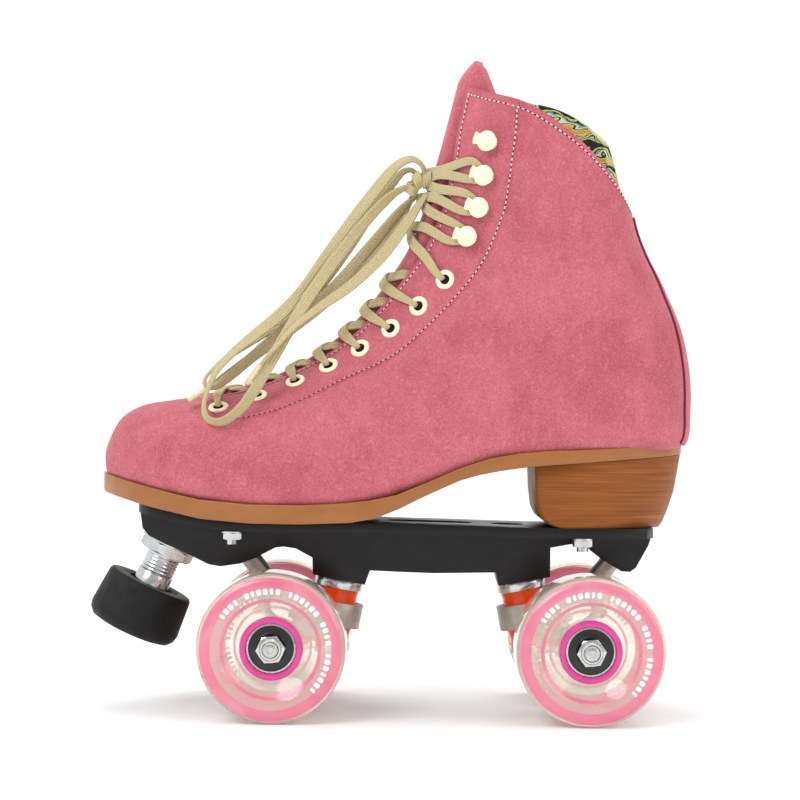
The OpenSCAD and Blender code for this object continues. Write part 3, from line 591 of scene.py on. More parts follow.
def collar_rise(a):
    """Height of the collar's edge over a level cut, at an angle from the instep."""
    c, s = np.cos(np.radians(a)), np.sin(np.radians(a))
    b = np.degrees(np.arccos(np.clip(c, -1, 1)))
    inner = RISE_INNER * smoothstep((b - 5) / 115) * (1 - smoothstep((b - 138) / 26))
    outer = RISE_OUTER * s * s * smoothstep((b - 20) / 60)
    return np.where(s >= 0, inner, outer) - BACK_DIP * np.maximum(-c, 0) ** 3


def skin(u, a):
    """Points of the boot's outer surface in mm: section u, angle a in degrees from the instep."""
    u, a = np.broadcast_arrays(np.asarray(u, float), np.asarray(a, float))
    r = blend_rows(u)
    c, s = np.cos(np.radians(a)), np.sin(np.radians(a))
    front = c >= 0
    e = 2 / np.where(front, r[..., 7], r[..., 8])
    k = r[..., 6] + np.where(front, 1 - r[..., 6], r[..., 6]) * signed_pow(c, e)
    fade = np.maximum(0, 1 - u / COLLAR_DEPTH)
    return np.stack([r[..., 2] + (r[..., 0] - r[..., 2]) * k, r[..., 5] + r[..., 4] * signed_pow(s, e),
                     r[..., 3] + (r[..., 1] - r[..., 3]) * k + collar_rise(a) * fade], axis=-1)


def skin_normal(u, a):
    u, a = np.broadcast_arrays(np.asarray(u, float), np.asarray(a, float))
    along, across = skin(u + 0.02, a) - skin(u - 0.02, a), skin(u, a + 0.2) - skin(u, a - 0.2)
    r = blend_rows(u)
    middle = np.stack([(r[..., 0] + r[..., 2]) / 2, r[..., 5], (r[..., 1] + r[..., 3]) / 2], axis=-1)
    n = unit(np.cross(along, across))
    return np.where((np.sum(n * (skin(u, a) - middle), axis=-1) < 0)[..., None], -n, n)


def creases(p):
    """Soft wrinkles of a worn-in ankle and a gentle unevenness, in mm along the normal."""
    x, y, z = p[..., 0], p[..., 1], p[..., 2]
    ankle = np.exp(-((x - 15) ** 2 / 900 + (z - 172) ** 2 / 700))
    folds = 0.45 * ankle * np.sin((z * 0.9 + x * 0.55) / 4.3)
    uneven = 0.22 * np.sin(x / 17 + 1.3) * np.sin(z / 13 + y / 21) + 0.12 * np.sin(x / 7.1 + z / 9.3)
    return folds + uneven


def off_skin(u, a, d=0.0):
    p = skin(u, a)
    round_from_front = np.degrees(np.arccos(np.clip(np.cos(np.radians(a)), -1, 1)))
    fade = np.clip(np.asarray(u, float) / 0.8, 0, 1) * np.clip((17.0 - np.asarray(u, float)) / 2, 0, 1)
    fade = fade * smoothstep((round_from_front - seam_angle(u) + 6) / 20)
    return p + skin_normal(u, a) * (np.asarray(d) + creases(p) * fade)[..., None]


def throat(u):
    """Half angle of the lacing opening, with a rounded lower end."""
    u = np.asarray(u, float)
    half = np.interp(u, np.arange(len(THROAT)), THROAT)
    end = np.sqrt(np.clip(1 - ((u - (THROAT_END - 1.0)) / 1.0) ** 2, 0, 1))
    return np.where(u > THROAT_END - 1.0, 13.5 * end, half)


TONGUE_TOP, TONGUE_END, TONGUE_BEND = -0.65, 13.4, 4.5


def tongue_depth(u, a):
    """How far the tongue's face lies off the skin: level in the opening, under the facings beside it."""
    s = smoothstep((np.abs(a) - throat(u) + 9) / 8) * smoothstep(1 + np.minimum(u, 0) / 0.9)
    return 0.4 * (1 - s) - (SKIN + LINING + 0.4) * s - TONGUE_BEND * np.maximum(u / TONGUE_TOP, 0) ** 1.5


# ---------------------------------------------------------------- boot pieces
def add_upper(outside, inside, edge):
    u = np.concatenate([np.linspace(0, THROAT_END, 118), np.linspace(THROAT_END, TOE_TIP, 42)[1:]])
    share = np.linspace(0, 1, 132)
    half = throat(u)[:, None]
    angles = half + (360 - 2 * half) * share[None, :]
    rows, cols = angles.shape
    grids = [off_skin(np.repeat(u[:, None], cols, 1), angles, d) for d in (0, -SKIN)]
    points = np.concatenate([g.reshape(-1, 3) for g in grids])
    count = rows * cols
    open_rows = int(np.sum(u < THROAT_END - 1e-6))
    faces, kinds = [], []
    for side, start in enumerate((0, count)):
        faces += grid_faces(rows, cols, start=start)
        kinds += [side] * (len(faces) - len(kinds))
    rim = [(j, j + 1) for j in range(cols - 1)]
    rim += [(i * cols, (i + 1) * cols) for i in range(open_rows)]
    rim += [(i * cols + cols - 1, (i + 1) * cols + cols - 1) for i in range(open_rows)]
    faces += [(a, b, b + count, a + count) for a, b in rim]
    kinds += [2] * len(rim)
    tips = [grids[0][-1].mean(0) + (-0.4, 0, 0), grids[1][-1].mean(0)]
    points = np.vstack([points, tips])
    for side, start in enumerate((0, count)):
        last = start + (rows - 1) * cols
        faces += [(last + j, last + j + 1, 2 * count + side) for j in range(cols - 1)]
        kinds += [side] * (cols - 1)
    piece = new_piece("boot_upper", points, faces, outside, inside, edge, slot="suede", kinds=kinds, angle=50)
    add_bevel(piece, 0.9, 3, 60)
    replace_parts(piece, "upper", "heel_counter", "toe_puff")


def patch(name, u, low, high, cols, top, bottom, material, slot="suede", bevel=0.35):
    """A layer on the skin from low(u) to high(u) degrees, between two offsets: numbers or functions of u and a."""
    a = low(u)[:, None] + (high(u) - low(u))[:, None] * np.linspace(0, 1, cols)[None, :]
    uu = np.repeat(u[:, None], cols, 1)
    grids = [off_skin(uu, a, d(uu, a) if callable(d) else np.full(a.shape, d)) for d in (top, bottom)]
    piece = new_piece(name, *sheet_between(*grids), material, slot=slot)
    return add_bevel(piece, bevel, 2, 60)


# Rear edge of a facing: section and angle from the instep, as sewn on the left side
FACING_SEAM = [(-0.1, 69), (0.5, 71), (1.02, 71), (2.23, 69.5), (3.01, 66), (3.85, 61.5), (5.24, 53), (6.86, 45.5),
               (8.77, 43), (10.68, 47.5), (11.8, 50), (12.9, 52)]
SEAM_CURVE = smooth_line([(u, a, 0) for u, a in FACING_SEAM], 300)


def seam_angle(u):
    return np.interp(u, SEAM_CURVE[:, 0], SEAM_CURVE[:, 1])


def degrees_for(u, a, mm):
    """Angle that moves a point of the skin sideways by so many mm."""
    return mm / (np.linalg.norm(skin(u, a + 0.5) - skin(u, a - 0.5), axis=-1) + 1e-9)


def add_facings(material):
    u = np.linspace(0.03, 12.9, 120)
    for side, name in ((-1, "left"), (1, "right")):
        patch(f"facing_{name}", u, lambda v, s=side: s * (throat(v) + EDGE_BACK),
              lambda v, s=side: s * seam_angle(v), 26, FACING, -0.05, material)


def add_tongue(outside):
    u = TONGUE_TOP + (TONGUE_END - TONGUE_TOP) * np.linspace(0, 1, 160) ** 1.7
    half = np.where(u < 0, 44 * np.maximum(1 - u / TONGUE_TOP, 0.01) ** 0.5, 44 - 1.1 * u)
    share = np.linspace(-1, 1, 41)
    a = half[:, None] * share[None, :]
    uu = np.repeat(u[:, None], len(share), 1)
    puff = 0.5 * np.cos(share * math.pi / 2)[None, :] * np.clip((u - TONGUE_TOP) / 0.5, 0, 1)[:, None]
    face = tongue_depth(uu, a)
    form = sheet_between(off_skin(uu, a, face + puff), off_skin(uu, a, face - TONGUE))
    piece = new_piece("tongue_padded", *form, outside, slot="suede")
    add_bevel(piece, 0.9, 3, 50)
    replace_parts(piece, "tongue")


def add_collar_lining(material):
    u = np.linspace(0.02, 4.6, 44)
    piece = patch("collar_lining_print", u, lambda v: throat(v) + 3, lambda v: 357 - throat(v), 96,
                  -SKIN - 0.05, -SKIN - LINING, material, slot="printed_lining", bevel=0.4)
    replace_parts(piece, "collar_lining")
    share = np.linspace(0, 1, 61)
    a = np.broadcast_to(84 + 78 * share, (5, 61))
    u = 0.05 - np.linspace(1, 0, 5)[:, None] * (0.02 + 0.10 * np.sin(math.pi * share) ** 0.6)[None, :]
    form = sheet_between(*(off_skin(u, a, np.full(a.shape, d)) for d in (-0.35, -SKIN - LINING)))
    lip = new_piece("collar_lining_lip", *form, material, slot="printed_lining")
    add_bevel(lip, 0.4, 2, 60)


def add_backstay(material, seam_shade_material):
    """The strip over the back seam, with a dark line along each of its edges: painted shade for its turned seam.
    """
    u = np.linspace(0.22, 6.95, 70)
    half = 13.5 + 1.2 * u
    piece = patch("backstay_strip", u, lambda v: 166.5 - 1.2 * v, lambda v: 193.5 + 1.2 * v, 20,
                  1.0, -0.05, material)
    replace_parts(piece, "backstay")
    seams = Parts()
    ring = circle(8)
    profile = np.stack([0.62 * np.cos(ring), 0.5 * np.sin(ring)], axis=1)
    for side in (-1, 1):
        line = off_skin(u, 180 + side * half, np.full(u.shape, 0.35))
        normals = skin_normal(u, 180 + side * half)
        t = unit(np.gradient(line, axis=0))
        seams.take(*sweep(line, unit(np.cross(t, normals)), normals, [profile] * len(line)))
    seams.piece("backstay_seams", seam_shade_material, slot="suede")


def add_insole(material):
    u = np.linspace(7.9, 16.5, 60)
    crown = lambda uu, a: -SKIN - 2.4 + 0.4 * np.cos(np.radians((a - 180) * 3))
    piece = patch("insole_pad", u, lambda v: np.full(v.shape, 148.0), lambda v: np.full(v.shape, 212.0),
                  24, crown, -SKIN - 5.0, material, slot="insole", bevel=0.8)
    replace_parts(piece, "insole")


# ---------------------------------------------------------------- stitching
STITCH, STITCH_GAP, THREAD = 1.45, 0.95, 0.58
SINK = 0.08                    # how deep a stitch lies in the suede
STITCH_FORM = ((0.0, 0.15, -0.28), (0.12, 0.8, -0.02), (0.5, 1.0, 0.14), (0.88, 0.8, -0.02),
               (1.0, 0.15, -0.28))           # share of the length, share of the thickness, lift
HOLE_LONG, HOLE_WIDE = 0.56, 0.36


def stitch_line(threads, holes, line, normals):
    """Sews short rounded stitches along a line of points in mm, with a dark mark of painted shade for the needle
    hole between two.
    """
    run = run_along(line)
    at = 0.4
    ring = circle(6)

    def place(distance):
        return np.array([np.interp(distance, run, line[:, k]) for k in range(3)])

    while at + STITCH < run[-1]:
        start, end = place(at), place(at + STITCH)
        n = unit(np.array([np.interp(at + STITCH / 2, run, normals[:, k]) for k in range(3)]))
        s = np.cross(unit(end - start), n)
        rows = []
        for f, scale, lift in STITCH_FORM:
            c = start * (1 - f) + end * f + n * (lift + THREAD / 2 - SINK)
            rows.append([c + (s * math.cos(q) + n * math.sin(q)) * THREAD / 2 * scale for q in ring])
        threads.take(rows, tube_faces(5, 6))
        middle = place(at + STITCH + STITCH_GAP / 2)
        t = unit(end - start)
        rim = [middle + (t * math.cos(q) * HOLE_LONG + s * math.sin(q) * HOLE_WIDE) for q in ring]
        holes.take([p + n * 0.10 for p in rim] + [p - n * 0.3 for p in rim], tube_faces(2, 6, -1))
        at += STITCH + STITCH_GAP


def stitch_on_skin(threads, holes, u, a, height):
    """A stitch line through sections u and angles a, at a height over the skin."""
    line = smooth_line(off_skin(u, a, np.broadcast_to(height, np.shape(u))), 500)
    normals = smooth_line(skin_normal(u, a), 500)
    stitch_line(threads, holes, line, normals)


def add_stitching(material, hole_shade_material):
    threads, holes = Parts(), Parts()
    for side in (-1, 1):
        u = np.linspace(0.16, 12.3, 110)
        edge = throat(u) + EDGE_BACK
        stitch_on_skin(threads, holes, u, side * (edge + degrees_for(u, side * edge, 3.0)), FACING)
        u = np.linspace(0.2, 12.7, 110)
        rear = seam_angle(u)
        stitch_on_skin(threads, holes, u, side * (rear - degrees_for(u, side * rear, 1.0)), FACING)
        a = np.linspace(27, 165, 90)
        stitch_on_skin(threads, holes, np.full(90, 0.17), side * a, FACING * smoothstep((64 - a) / 3))
    threads.piece("stitching", material, slot="suede")
    holes.piece("needle_holes", hole_shade_material, slot="suede")


# ---------------------------------------------------------------- lace
LACE_WIDTH, LACE_THICK, LACE_RIBS = 5.4, 1.2, 4
WEAVE = 1.5                    # mm along the lace for one repeat of its weave
# Sections and angles of the lacing, from the top down
EYELETS = [(4.6, 46), (5.5, 40), (6.4, 34), (7.5, 29), (8.8, 27.5), (10.2, 28), (11.5, 30), (12.7, 36)]
HOOKS = [(1.1, 55), (1.9, 56), (2.65, 55.5), (3.4, 52)]
HOOK_GAPS = [3.5, 2.8, 2.4, 2.2]             # sections where the strands cross between hooks, going up


def lace_section(width, thick):
    """Outline of the flat lace: lengthwise ribs between two thicker edges."""
    across = np.linspace(-1, 1, 31)
    edge = np.sqrt(np.clip(1 - np.abs(across) ** 6, 0, 1))
    relief = 0.09 * np.cos(across * math.pi * LACE_RIBS) + 0.16 * np.abs(across) ** 4
    top = thick / 2 * edge + relief * edge * min(1, width / 5)
    upper = np.stack([across * width / 2, top], axis=1)
    lower = np.stack([across[::-1][1:-1] * width / 2, -top[::-1][1:-1]], axis=1)
    return np.vstack([upper, lower])


def lace_strip(line, ups, widths):
    """Points, faces and weave coordinates of a lace along a line, its flat side facing ups."""
    t = unit(np.gradient(line, axis=0))
    sides = unit(np.cross(t, ups))
    ups = unit(np.cross(sides, t))
    thicks = [LACE_THICK * (1 + 0.35 * max(0, (LACE_WIDTH - w) / LACE_WIDTH)) for w in widths]
    profile = [lace_section(w, thick) for w, thick in zip(widths, thicks)]
    return sweep(line, sides, ups, profile, WEAVE)


def crossing_route(start, end, side, lift):
    """From an eyelet's hole, over the facing's edge and the tongue, to under the opposite facing."""
    (u0, a0), (u1, _) = start, end
    edge0, edge1 = float(throat(u0)), float(throat(u1))
    near = a0 - edge0
    du = u1 - u0
    tuck = -SKIN - 1.0
    deep = -0.2 if u1 > 4.6 else -1.4
    loose = float(np.interp(u0, [5, 8.5], [1.0, 0.0]))
    over = 1.05 + 0.4 * loose + lift * (0.68 + 0.32 * loose)
    route = [
        (u0, a0 - 1.2, -1.8, 2.2), (u0 + 0.01 * du, a0 - 1.4, 0.5, 2.4),
        (u0 + 0.04 * du, a0 - 0.2 * near, 1.9, 3.0), (u0 + 0.12 * du, a0 - 0.55 * near, FACING + 1.3, 4.0),
        (u0 + 0.2 * du, edge0 + 1.5, FACING + 0.9, 4.6),
        (u0 + 0.31 * du, edge0 * 0.55, 0.4 + over * 0.75, 5.0), (u0 + 0.5 * du, 0, over, 5.2),
        (u0 + 0.68 * du, -edge1 * 0.55, 0.3 + over * 0.7, 5.2), (u0 + 0.84 * du, -edge1 + 3.5, 0.1, 5.0),
        (u0 + 0.93 * du, -edge1 - 0.5, tuck + deep * 0.5, 4.8), (u1, -edge1 - 4.5, tuck + deep, 4.6)]
    return [(u, side * a, h, w) for u, a, h, w in route]


def hook_route(below, hook, above, side, lift):
    """A turn of lace round a hook's neck, from the crossing below it to the crossing above it."""
    u, a = hook
    rise = FACING + 1.1
    return [
        (below, -side * 0.4, 3.2 + lift, 4.6), (below + (u - below) * 0.45, side * a * 0.42, rise + 1.0, 4.6),
        (u + 0.20, side * (a - 12), rise + 0.3, 3.9), (u + 0.15, side * (a - 3), rise + 0.4, 2.6),
        (u, side * (a + 3.4), rise + 0.5, 2.0), (u - 0.15, side * (a - 3), rise + 0.4, 2.6),
        (u - 0.22, side * (a - 12), rise + 0.3, 3.9),
        (above + (u - above) * 0.45, side * a * 0.42, rise + 1.0, 4.6), (above, -side * 0.4, 3.2 + lift, 4.6)]


def skin_strip(route, count=64):
    r = smooth_line([(*off_skin(u, a, np.float64(h)), w, u, a) for u, a, h, w in route], count)
    return lace_strip(r[:, :3], skin_normal(r[:, 4], r[:, 5]), r[:, 3])


def add_crossings(material):
    """Two sets of crossings, one from each side; the right-hand strands pass over the left-hand ones."""
    going_up = EYELETS[::-1]
    for side, lift, name, node in ((1, 0.2, "lace_from_right", "lace_under"),
                                   (-1, 1.75, "lace_from_left", "lace_over")):
        parts = Parts()
        for start, end in zip(going_up, going_up[1:]):
            parts.take(*skin_strip(crossing_route(start, end, side, lift)))
        u, a = going_up[-1]
        parts.take(*skin_strip([
            (u, side * (a - 1.2), -1.8, 2.2), (u - 0.02, side * (a - 1.4), 0.5, 2.4),
            (u - 0.12, side * (a - 5), FACING + 1.7, 3.6), (4.15, side * 31, FACING + 1.6, 4.6),
            (3.85, side * 15, 2.4 + lift * 0.5, 4.8), (3.5, -side * 0.4, 3.2 + lift, 4.6)]))
        for below, hook, above in zip(HOOK_GAPS, HOOKS[:0:-1], HOOK_GAPS[1:]):
            parts.take(*skin_strip(hook_route(below, hook, above, side, lift), 80))
        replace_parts(parts.piece(name, material, slot="lace"), node)
    parts = Parts()
    u, a = EYELETS[-1]
    parts.take(*skin_strip([(u, share * a, h, w) for share, h, w in (
        (-1, -1.8, 3.0), (-0.7, -3.0, 4.6), (0, -2.2, 5.4), (0.7, -3.0, 4.6), (1, -1.8, 3.0))]))
    parts.piece("lace_toe_bar", material, slot="lace")


# Routes of the bow, from the knot and, on a loop, back to it. They are those of the frame's source, except
# that the inner loop's fold is rounder here.
LOOP_LEFT = [
    [14, -8, 242], [13, -8, 247], [8, -8, 250], [1, -9, 246.5], [-7, -11, 237], [-18, -13, 222],
    [-30, -16, 204.5], [-40, -18, 189.5], [-50, -22, 178.5], [-61, -26, 169], [-70, -31, 161],
    [-77, -36, 152.5], [-81, -39, 143], [-82, -41, 135.5], [-79.5, -42, 131], [-73.5, -42.5, 130.5],
    [-66.5, -41, 135.5], [-61, -38, 143], [-54, -32, 156], [-46.5, -26, 170], [-38.5, -21, 184.5],
    [-28, -17, 200.5], [-14, -14, 219], [-1, -11, 233], [9, -9, 238.5]]
LOOP_RIGHT = [
    [11, -4, 243], [7.5, -3.5, 245.5], [2, -4, 242.5], [-9, -6, 227.5], [-21, -8.5, 208.5], [-34, -11.5, 190.5],
    [-46, -14, 177.5], [-58, -17, 170], [-70, -21, 161.5], [-79.5, -24, 153.5], [-83, -25.5, 149],
    [-82, -26.5, 145.8], [-77.5, -27, 146], [-71.5, -26.5, 150.5], [-64.5, -24, 157], [-54.5, -20.5, 166],
    [-41.5, -16.5, 178], [-26, -12.5, 191.5], [-10, -9, 210.5], [3.5, -7, 227], [11, -5.5, 234]]
END_LEFT = [
    [15, -10, 234], [11, -11.5, 228], [3, -13.5, 216], [-6, -16, 204], [-19, -19, 191.5], [-32, -22.5, 182],
    [-43, -27, 173], [-51, -31, 164], [-57, -34, 156.5], [-61.5, -36, 150]]
END_RIGHT = [
    [9, -3, 234], [4.5, -4.5, 225.5], [-5, -6.5, 211.5], [-17, -9, 198], [-31, -12, 184], [-45, -15, 172.5],
    [-58, -18, 162.5], [-68.5, -21.5, 154.5], [-78, -25, 147.5], [-86.5, -27.5, 141.5]]
AGLET = 11.0                   # length of a lace's tip
AGLET_FORM = [(0, -AGLET * 0.5), (1.2, -AGLET * 0.5), (1.5, -AGLET * 0.47), (1.55, AGLET * 0.40),
              (1.35, AGLET * 0.47), (0.9, AGLET * 0.5), (0, AGLET * 0.5)]


def turned_ups(line, turns):
    """Directions that the flat side faces: the wearer's left, rolled about the lace by the turns given."""
    t = unit(np.gradient(line, axis=0))
    side = unit(np.cross(t, np.array([0.0, -1.0, 0.0])))
    up = unit(np.cross(side, t))
    roll = np.radians(np.interp(np.linspace(0, 1, len(line)), np.linspace(0, 1, len(turns)), turns))[:, None]
    return up * np.cos(roll) + side * np.sin(roll)


def add_cord(name, node, route, turns, far_end, material, tip_material=None):
    """A bow loop or a lace end, as a free cord of its own length."""
    count = 40 + int(1.4 * len(route) * 8)
    line = smooth_line(route, count)
    length = float(run_along(line)[-1])
    from_start = np.linspace(0, length, count)
    widths = LACE_WIDTH * (0.55 + 0.45 * smoothstep(from_start / 16))
    if far_end == "object":
        widths *= 0.55 + 0.45 * smoothstep((length - from_start) / 16)
    else:
        widths *= 0.5 + 0.5 * smoothstep((length - AGLET * 0.6 - from_start) / 9)
    points, faces, uvs = lace_strip(line, turned_ups(line, turns), widths)
    cord = new_piece(name, points, faces, material, slot="lace", uvs=uvs)
    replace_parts(cord, node)
    tips = []
    if tip_material is not None:
        direction = line[-1] - line[-6]
        form, faces = lathe(AGLET_FORM, 20, closed=False)
        form = form * (1.25, 0.8, 1)
        at = line[-1] - unit(direction) * AGLET * 0.1
        tips = [new_piece(f"{name}_aglet", moved(form, facing(at, direction)), faces, tip_material,
                          slot="aglet")]
    return tips


def add_bow(material, tip_material):
    add_cord("bow_loop_outer", "bow_loop_left", LOOP_LEFT,
             [70, 30, 10, -10, 10, 50, 75, 40, 5, -15, 10, 30, 60], "object", material)
    add_cord("bow_loop_inner", "bow_loop_right", LOOP_RIGHT,
             [60, 20, -15, 15, 35, 80, 40, 0, 20, 40, 60], "object", material)
    tips = add_cord("lace_tail_left", "lace_end_left", END_LEFT,
                    [40, 10, 30, 65, 80], "bare", material, tip_material)
    tips += add_cord("lace_tail_right", "lace_end_right", END_RIGHT,
                     [50, 20, -10, 30, 70], "bare", material, tip_material)
    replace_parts(tips[0], "aglets")


# Centre, axis, radii and tilt in radians of each wrap of the knot
KNOT_WRAPS = (((11.0, -8.2, 240.2), (0.75, 0.0, 0.66), (3.6, 2.9), 0.0),
              ((15.2, -7.6, 240.6), (0.92, 0.1, 0.38), (3.2, 2.7), 0.5),
              ((8.4, -7.2, 236.5), (0.35, 0.0, 0.94), (3.1, 2.5), 1.1))


def add_knot(material):
    """Three short wraps of lace round the strands, each a bent band."""
    parts = Parts()
    for at, axis, radii, tilt in KNOT_WRAPS:
        angle = np.linspace(tilt, tilt + 2 * math.pi * 0.97, 44)
        line = np.stack([radii[0] * np.cos(angle), radii[1] * np.sin(angle), 1.1 * np.sin(angle + tilt)],
                        axis=1)
        ups = np.stack([np.cos(angle) / radii[0], np.sin(angle) / radii[1], 0 * angle], axis=1)
        parts.carry(lace_strip(line, unit(ups), np.full(44, 4.4)), facing(at, axis))
    core = lathe([(0, -5.5), (2.4, -4.6), (3.0, 0), (2.4, 4.6), (0, 5.5)], 20, closed=False)
    parts.carry(core, facing((11.8, -7.6, 240), (0.8, 0, 0.6)))
    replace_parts(parts.piece("bow_knot", material, slot="lace"), "lace_knot")


# ---------------------------------------------------------------- eyelets and hooks
def stand_on_skin(u, a):
    """Matrix with Z out of the facing at a point and X towards the lacing opening."""
    n = skin_normal(u, a)
    towards = skin(u, a - math.copysign(1.0, a)) - skin(u, a)
    x = unit(towards - n * np.dot(towards, n))
    y = np.cross(n, x)
    at = off_skin(u, a, np.float64(FACING))
    return np.array([[*row, shift] for row, shift in zip(np.stack([x, y, n], axis=1), at)] + [[0, 0, 0, 1]])


EYELET_FORM = [(2.15, -1.7), (2.6, -1.7), (2.65, -0.15), (4.45, -0.15), (4.5, 0.15), (4.2, 0.55), (3.6, 0.85),
               (2.9, 0.8), (2.35, 0.45), (2.15, 0.0)]
EYELET_HOLE = [(0, -0.6), (2.4, -0.6), (2.4, 0.1), (0, 0.1)]
HOOK_FORM = [(0, -0.4), (3.3, -0.4), (3.4, 0.3), (2.3, 0.75), (1.9, 1.2), (1.9, 3.2), (2.6, 3.5), (4.3, 3.6),
             (4.62, 3.85), (4.55, 4.25), (4.0, 4.65), (2.6, 4.95), (0, 5.1)]
TAB_HALF = [(-1.0, 2.6), (3.4, 2.3), (5.2, 2.75), (6.1, 2.9), (6.45, 1.6), (6.5, 0.0)]
TAB_LEVELS = ((0.96, 3.72), (1.0, 3.95), (0.93, 4.45))       # share of the width, height


def both_sides(spots):
    """The matrices of the given spots of the facing, on the right side and on the left."""
    return [stand_on_skin(u, side * a) for u, a in spots for side in (-1, 1)]


def add_eyelets(enamel, dark):
    """Rolled rings, each round a dark disc of painted shade that stands for its hole."""
    rings, holes = Parts(), Parts()
    for matrix in both_sides(EYELETS):
        rings.carry(lathe(EYELET_FORM, 40), matrix)
        holes.carry(lathe(EYELET_HOLE, 24, closed=False), matrix)
    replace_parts(rings.piece("eyelet_rings", enamel, slot="cream_enamel", angle=60), "eyelets")
    holes.piece("eyelet_holes", dark, slot="suede")


def add_hooks(enamel):
    """Speed hooks: a foot on the facing, a neck, and a domed head with a flared tab towards the opening."""
    hooks = Parts()
    outline = TAB_HALF + [(x, -y) for x, y in TAB_HALF[-2::-1]]
    tab = [(x, y * k, z) for k, z in TAB_LEVELS for x, y in outline]
    for matrix in both_sides(HOOKS):
        hooks.carry(lathe(HOOK_FORM, 48, closed=False), matrix)
        hooks.carry((tab, tube_faces(len(TAB_LEVELS), len(outline), -1)), matrix)
    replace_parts(hooks.piece("speed_hooks", enamel, slot="cream_enamel", angle=50), "lace_hooks")


# ---------------------------------------------------------------- hardware forms
def hex_nut(across_flats, height, bore, collar=None, sides=72):
    """A chamfered hexagon nut standing on z = 0; collar is (radius, extra height) of a locking ring."""
    angles = circle(sides)
    apothem = across_flats / 2
    flat = apothem / np.cos((angles % (math.pi / 3)) - math.pi / 6)
    shoulder = apothem * 1.02
    drop = np.maximum(flat - shoulder, 0) * math.tan(math.radians(32))
    rings = [(bore + 0.5, 0), (shoulder, 0), (flat, np.minimum(drop * 0.6, height * 0.2)),
             (flat, height - drop), (shoulder, height)]
    top = height
    if collar:
        radius, extra = collar
        top = height + extra
        rings += [(radius, height + 0.15), (radius, height + extra * 0.7), (radius - 0.5, top),
                  (bore + 0.7, top)]
    rings += [(bore + 0.5, top), (bore, top - 0.5), (bore, 0.5)]
    points = [np.stack([r * np.cos(angles), r * np.sin(angles), z + 0 * angles], axis=1) for r, z in rings]
    return np.concatenate(points), turned_faces(len(rings), sides)


def threaded_rod(radius, start, end, pitch, depth, sides=40):
    """A solid rod along Z with a helical thread between two heights and a chamfer at each end."""
    angles = circle(sides)
    count = int((end - start) / pitch * 8)
    points = []
    for z in np.linspace(start, end, count):
        phase = (z / pitch - angles / (2 * math.pi)) % 1.0
        ridge = np.abs(2 * phase - 1)
        taper = min(1.0, (end - z) / (depth * 1.6), (z - start) / (depth * 1.6))
        r = np.minimum(radius - depth * (1 - ridge), radius - depth * (1 - taper) * 1.2)
        points.append(np.stack([r * np.cos(angles), r * np.sin(angles), np.full(sides, z)], axis=1))
    return np.concatenate(points), tube_faces(count, sides, -1)


FRONT_X, REAR_X, AXLE_Z, WHEEL_Y = -50.5, 88.0, 32.5, 44.0
KINGPIN_LEAN, KINGPIN_NUT_AT = math.radians(11), 32.25
TRUCKS = {"front": (FRONT_X, 1), "rear": (REAR_X, -1)}


def kingpin_frame(truck):
    """Matrix with its origin at the plate's boss and Z down the kingpin."""
    x, way = TRUCKS[truck]
    return facing((x + way * 28, 0, AXLE_Z + 27), (-way * math.sin(KINGPIN_LEAN), 0, -math.cos(KINGPIN_LEAN)))


def dress(node, material, bevel_mm=0.0, angle=35, segments=2):
    """Gives a CAD node its material, one skin and softly rounded edges."""
    piece = NODES[node]
    piece.data.materials.clear()
    piece.data.materials.append(material)
    piece.data.polygons.foreach_set("use_smooth", [True] * len(piece.data.polygons))
    weld = piece.modifiers.new("one_skin", "WELD")
    weld.merge_threshold = 2e-6
    if bevel_mm:
        add_bevel(piece, bevel_mm, segments, angle)
    return piece


AXLE_BAR = [(0, -56), (3.5, -56), (3.5, 56), (0, 56)]
AXLE_NOSE = [(0, 63.2), (2.9, 63.2), (2.7, 63.9), (1.7, 64.0), (1.55, 63.3), (0, 63.25)]


def add_axle_ends(truck, steel, zinc):
    """The axle with threaded ends, a socket in each end, and its lock nuts."""
    x, _ = TRUCKS[truck]
    body = f"{truck}_truck"
    at = (x, 0, AXLE_Z)
    bar, nuts = Parts(), Parts()
    bar.stand(lathe(AXLE_BAR, 32, closed=False), at, (0, 1, 0))
    for side in (-1, 1):
        out = (0, side, 0)
        bar.stand(threaded_rod(3.5, 55.9, 63.4, 1.0, 0.32), at, out)
        bar.stand(lathe(AXLE_NOSE, 6, closed=False), at, out)
        nut = hex_nut(11.2, 4.2, 3.3, (4.9, 2.0))
        nuts.stand(nut, (x, side * (WHEEL_Y + 12.8), AXLE_Z), out, turn=0.3 + side * 0.2)
    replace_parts(bar.piece(f"{truck}_axle_bar", steel, slot="bearing_steel", body=body), f"{truck}_axle")
    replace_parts(nuts.piece(f"{truck}_lock_nuts", zinc, slot="zinc_plate", body=body, angle=25),
                f"{truck}_axle_nuts")


# ---------------------------------------------------------------- wheels
WHEEL_R, WHEEL_HALF, LIP_R = 32.5, 17.5, 4.5


def face_height(r):
    """Height of the wheel's face over its middle plane: a dished middle, a flat band and the lip."""
    if r > WHEEL_R - LIP_R:
        return WHEEL_HALF - LIP_R + math.sqrt(max(LIP_R ** 2 - (r - WHEEL_R + LIP_R) ** 2, 0))
    f = min(max((r - 13.75) / 10.4, 0), 1)
    return 12.0 + 5.5 * (0.7 * f + 0.3 * (3 * f * f - 2 * f ** 3))


FACE_RADII = [13.75, 14.4, 15.4, 16, 17, 18, 19, 20, 21, 22, 23, 24, 24.6, 26, 28]
PINK_BANDS = ((26.2, 30.9, 12), (20.4, 21.9, 4))             # inner radius, outer radius, rings
SHIELD_FORM = [(5.95, 12.05), (10.0, 12.05), (9.9, 12.28), (9.2, 12.34), (9.1, 12.18), (6.9, 12.18),
               (6.7, 12.34), (6.1, 12.28)]
MARKS, MARK_GAPS = 31, (4, 11, 18, 23)                       # how many marks, and those left out
MARK_START, MARK_STEP, MARK_R = -56, 6.3, 25.2               # degrees, degrees, mm


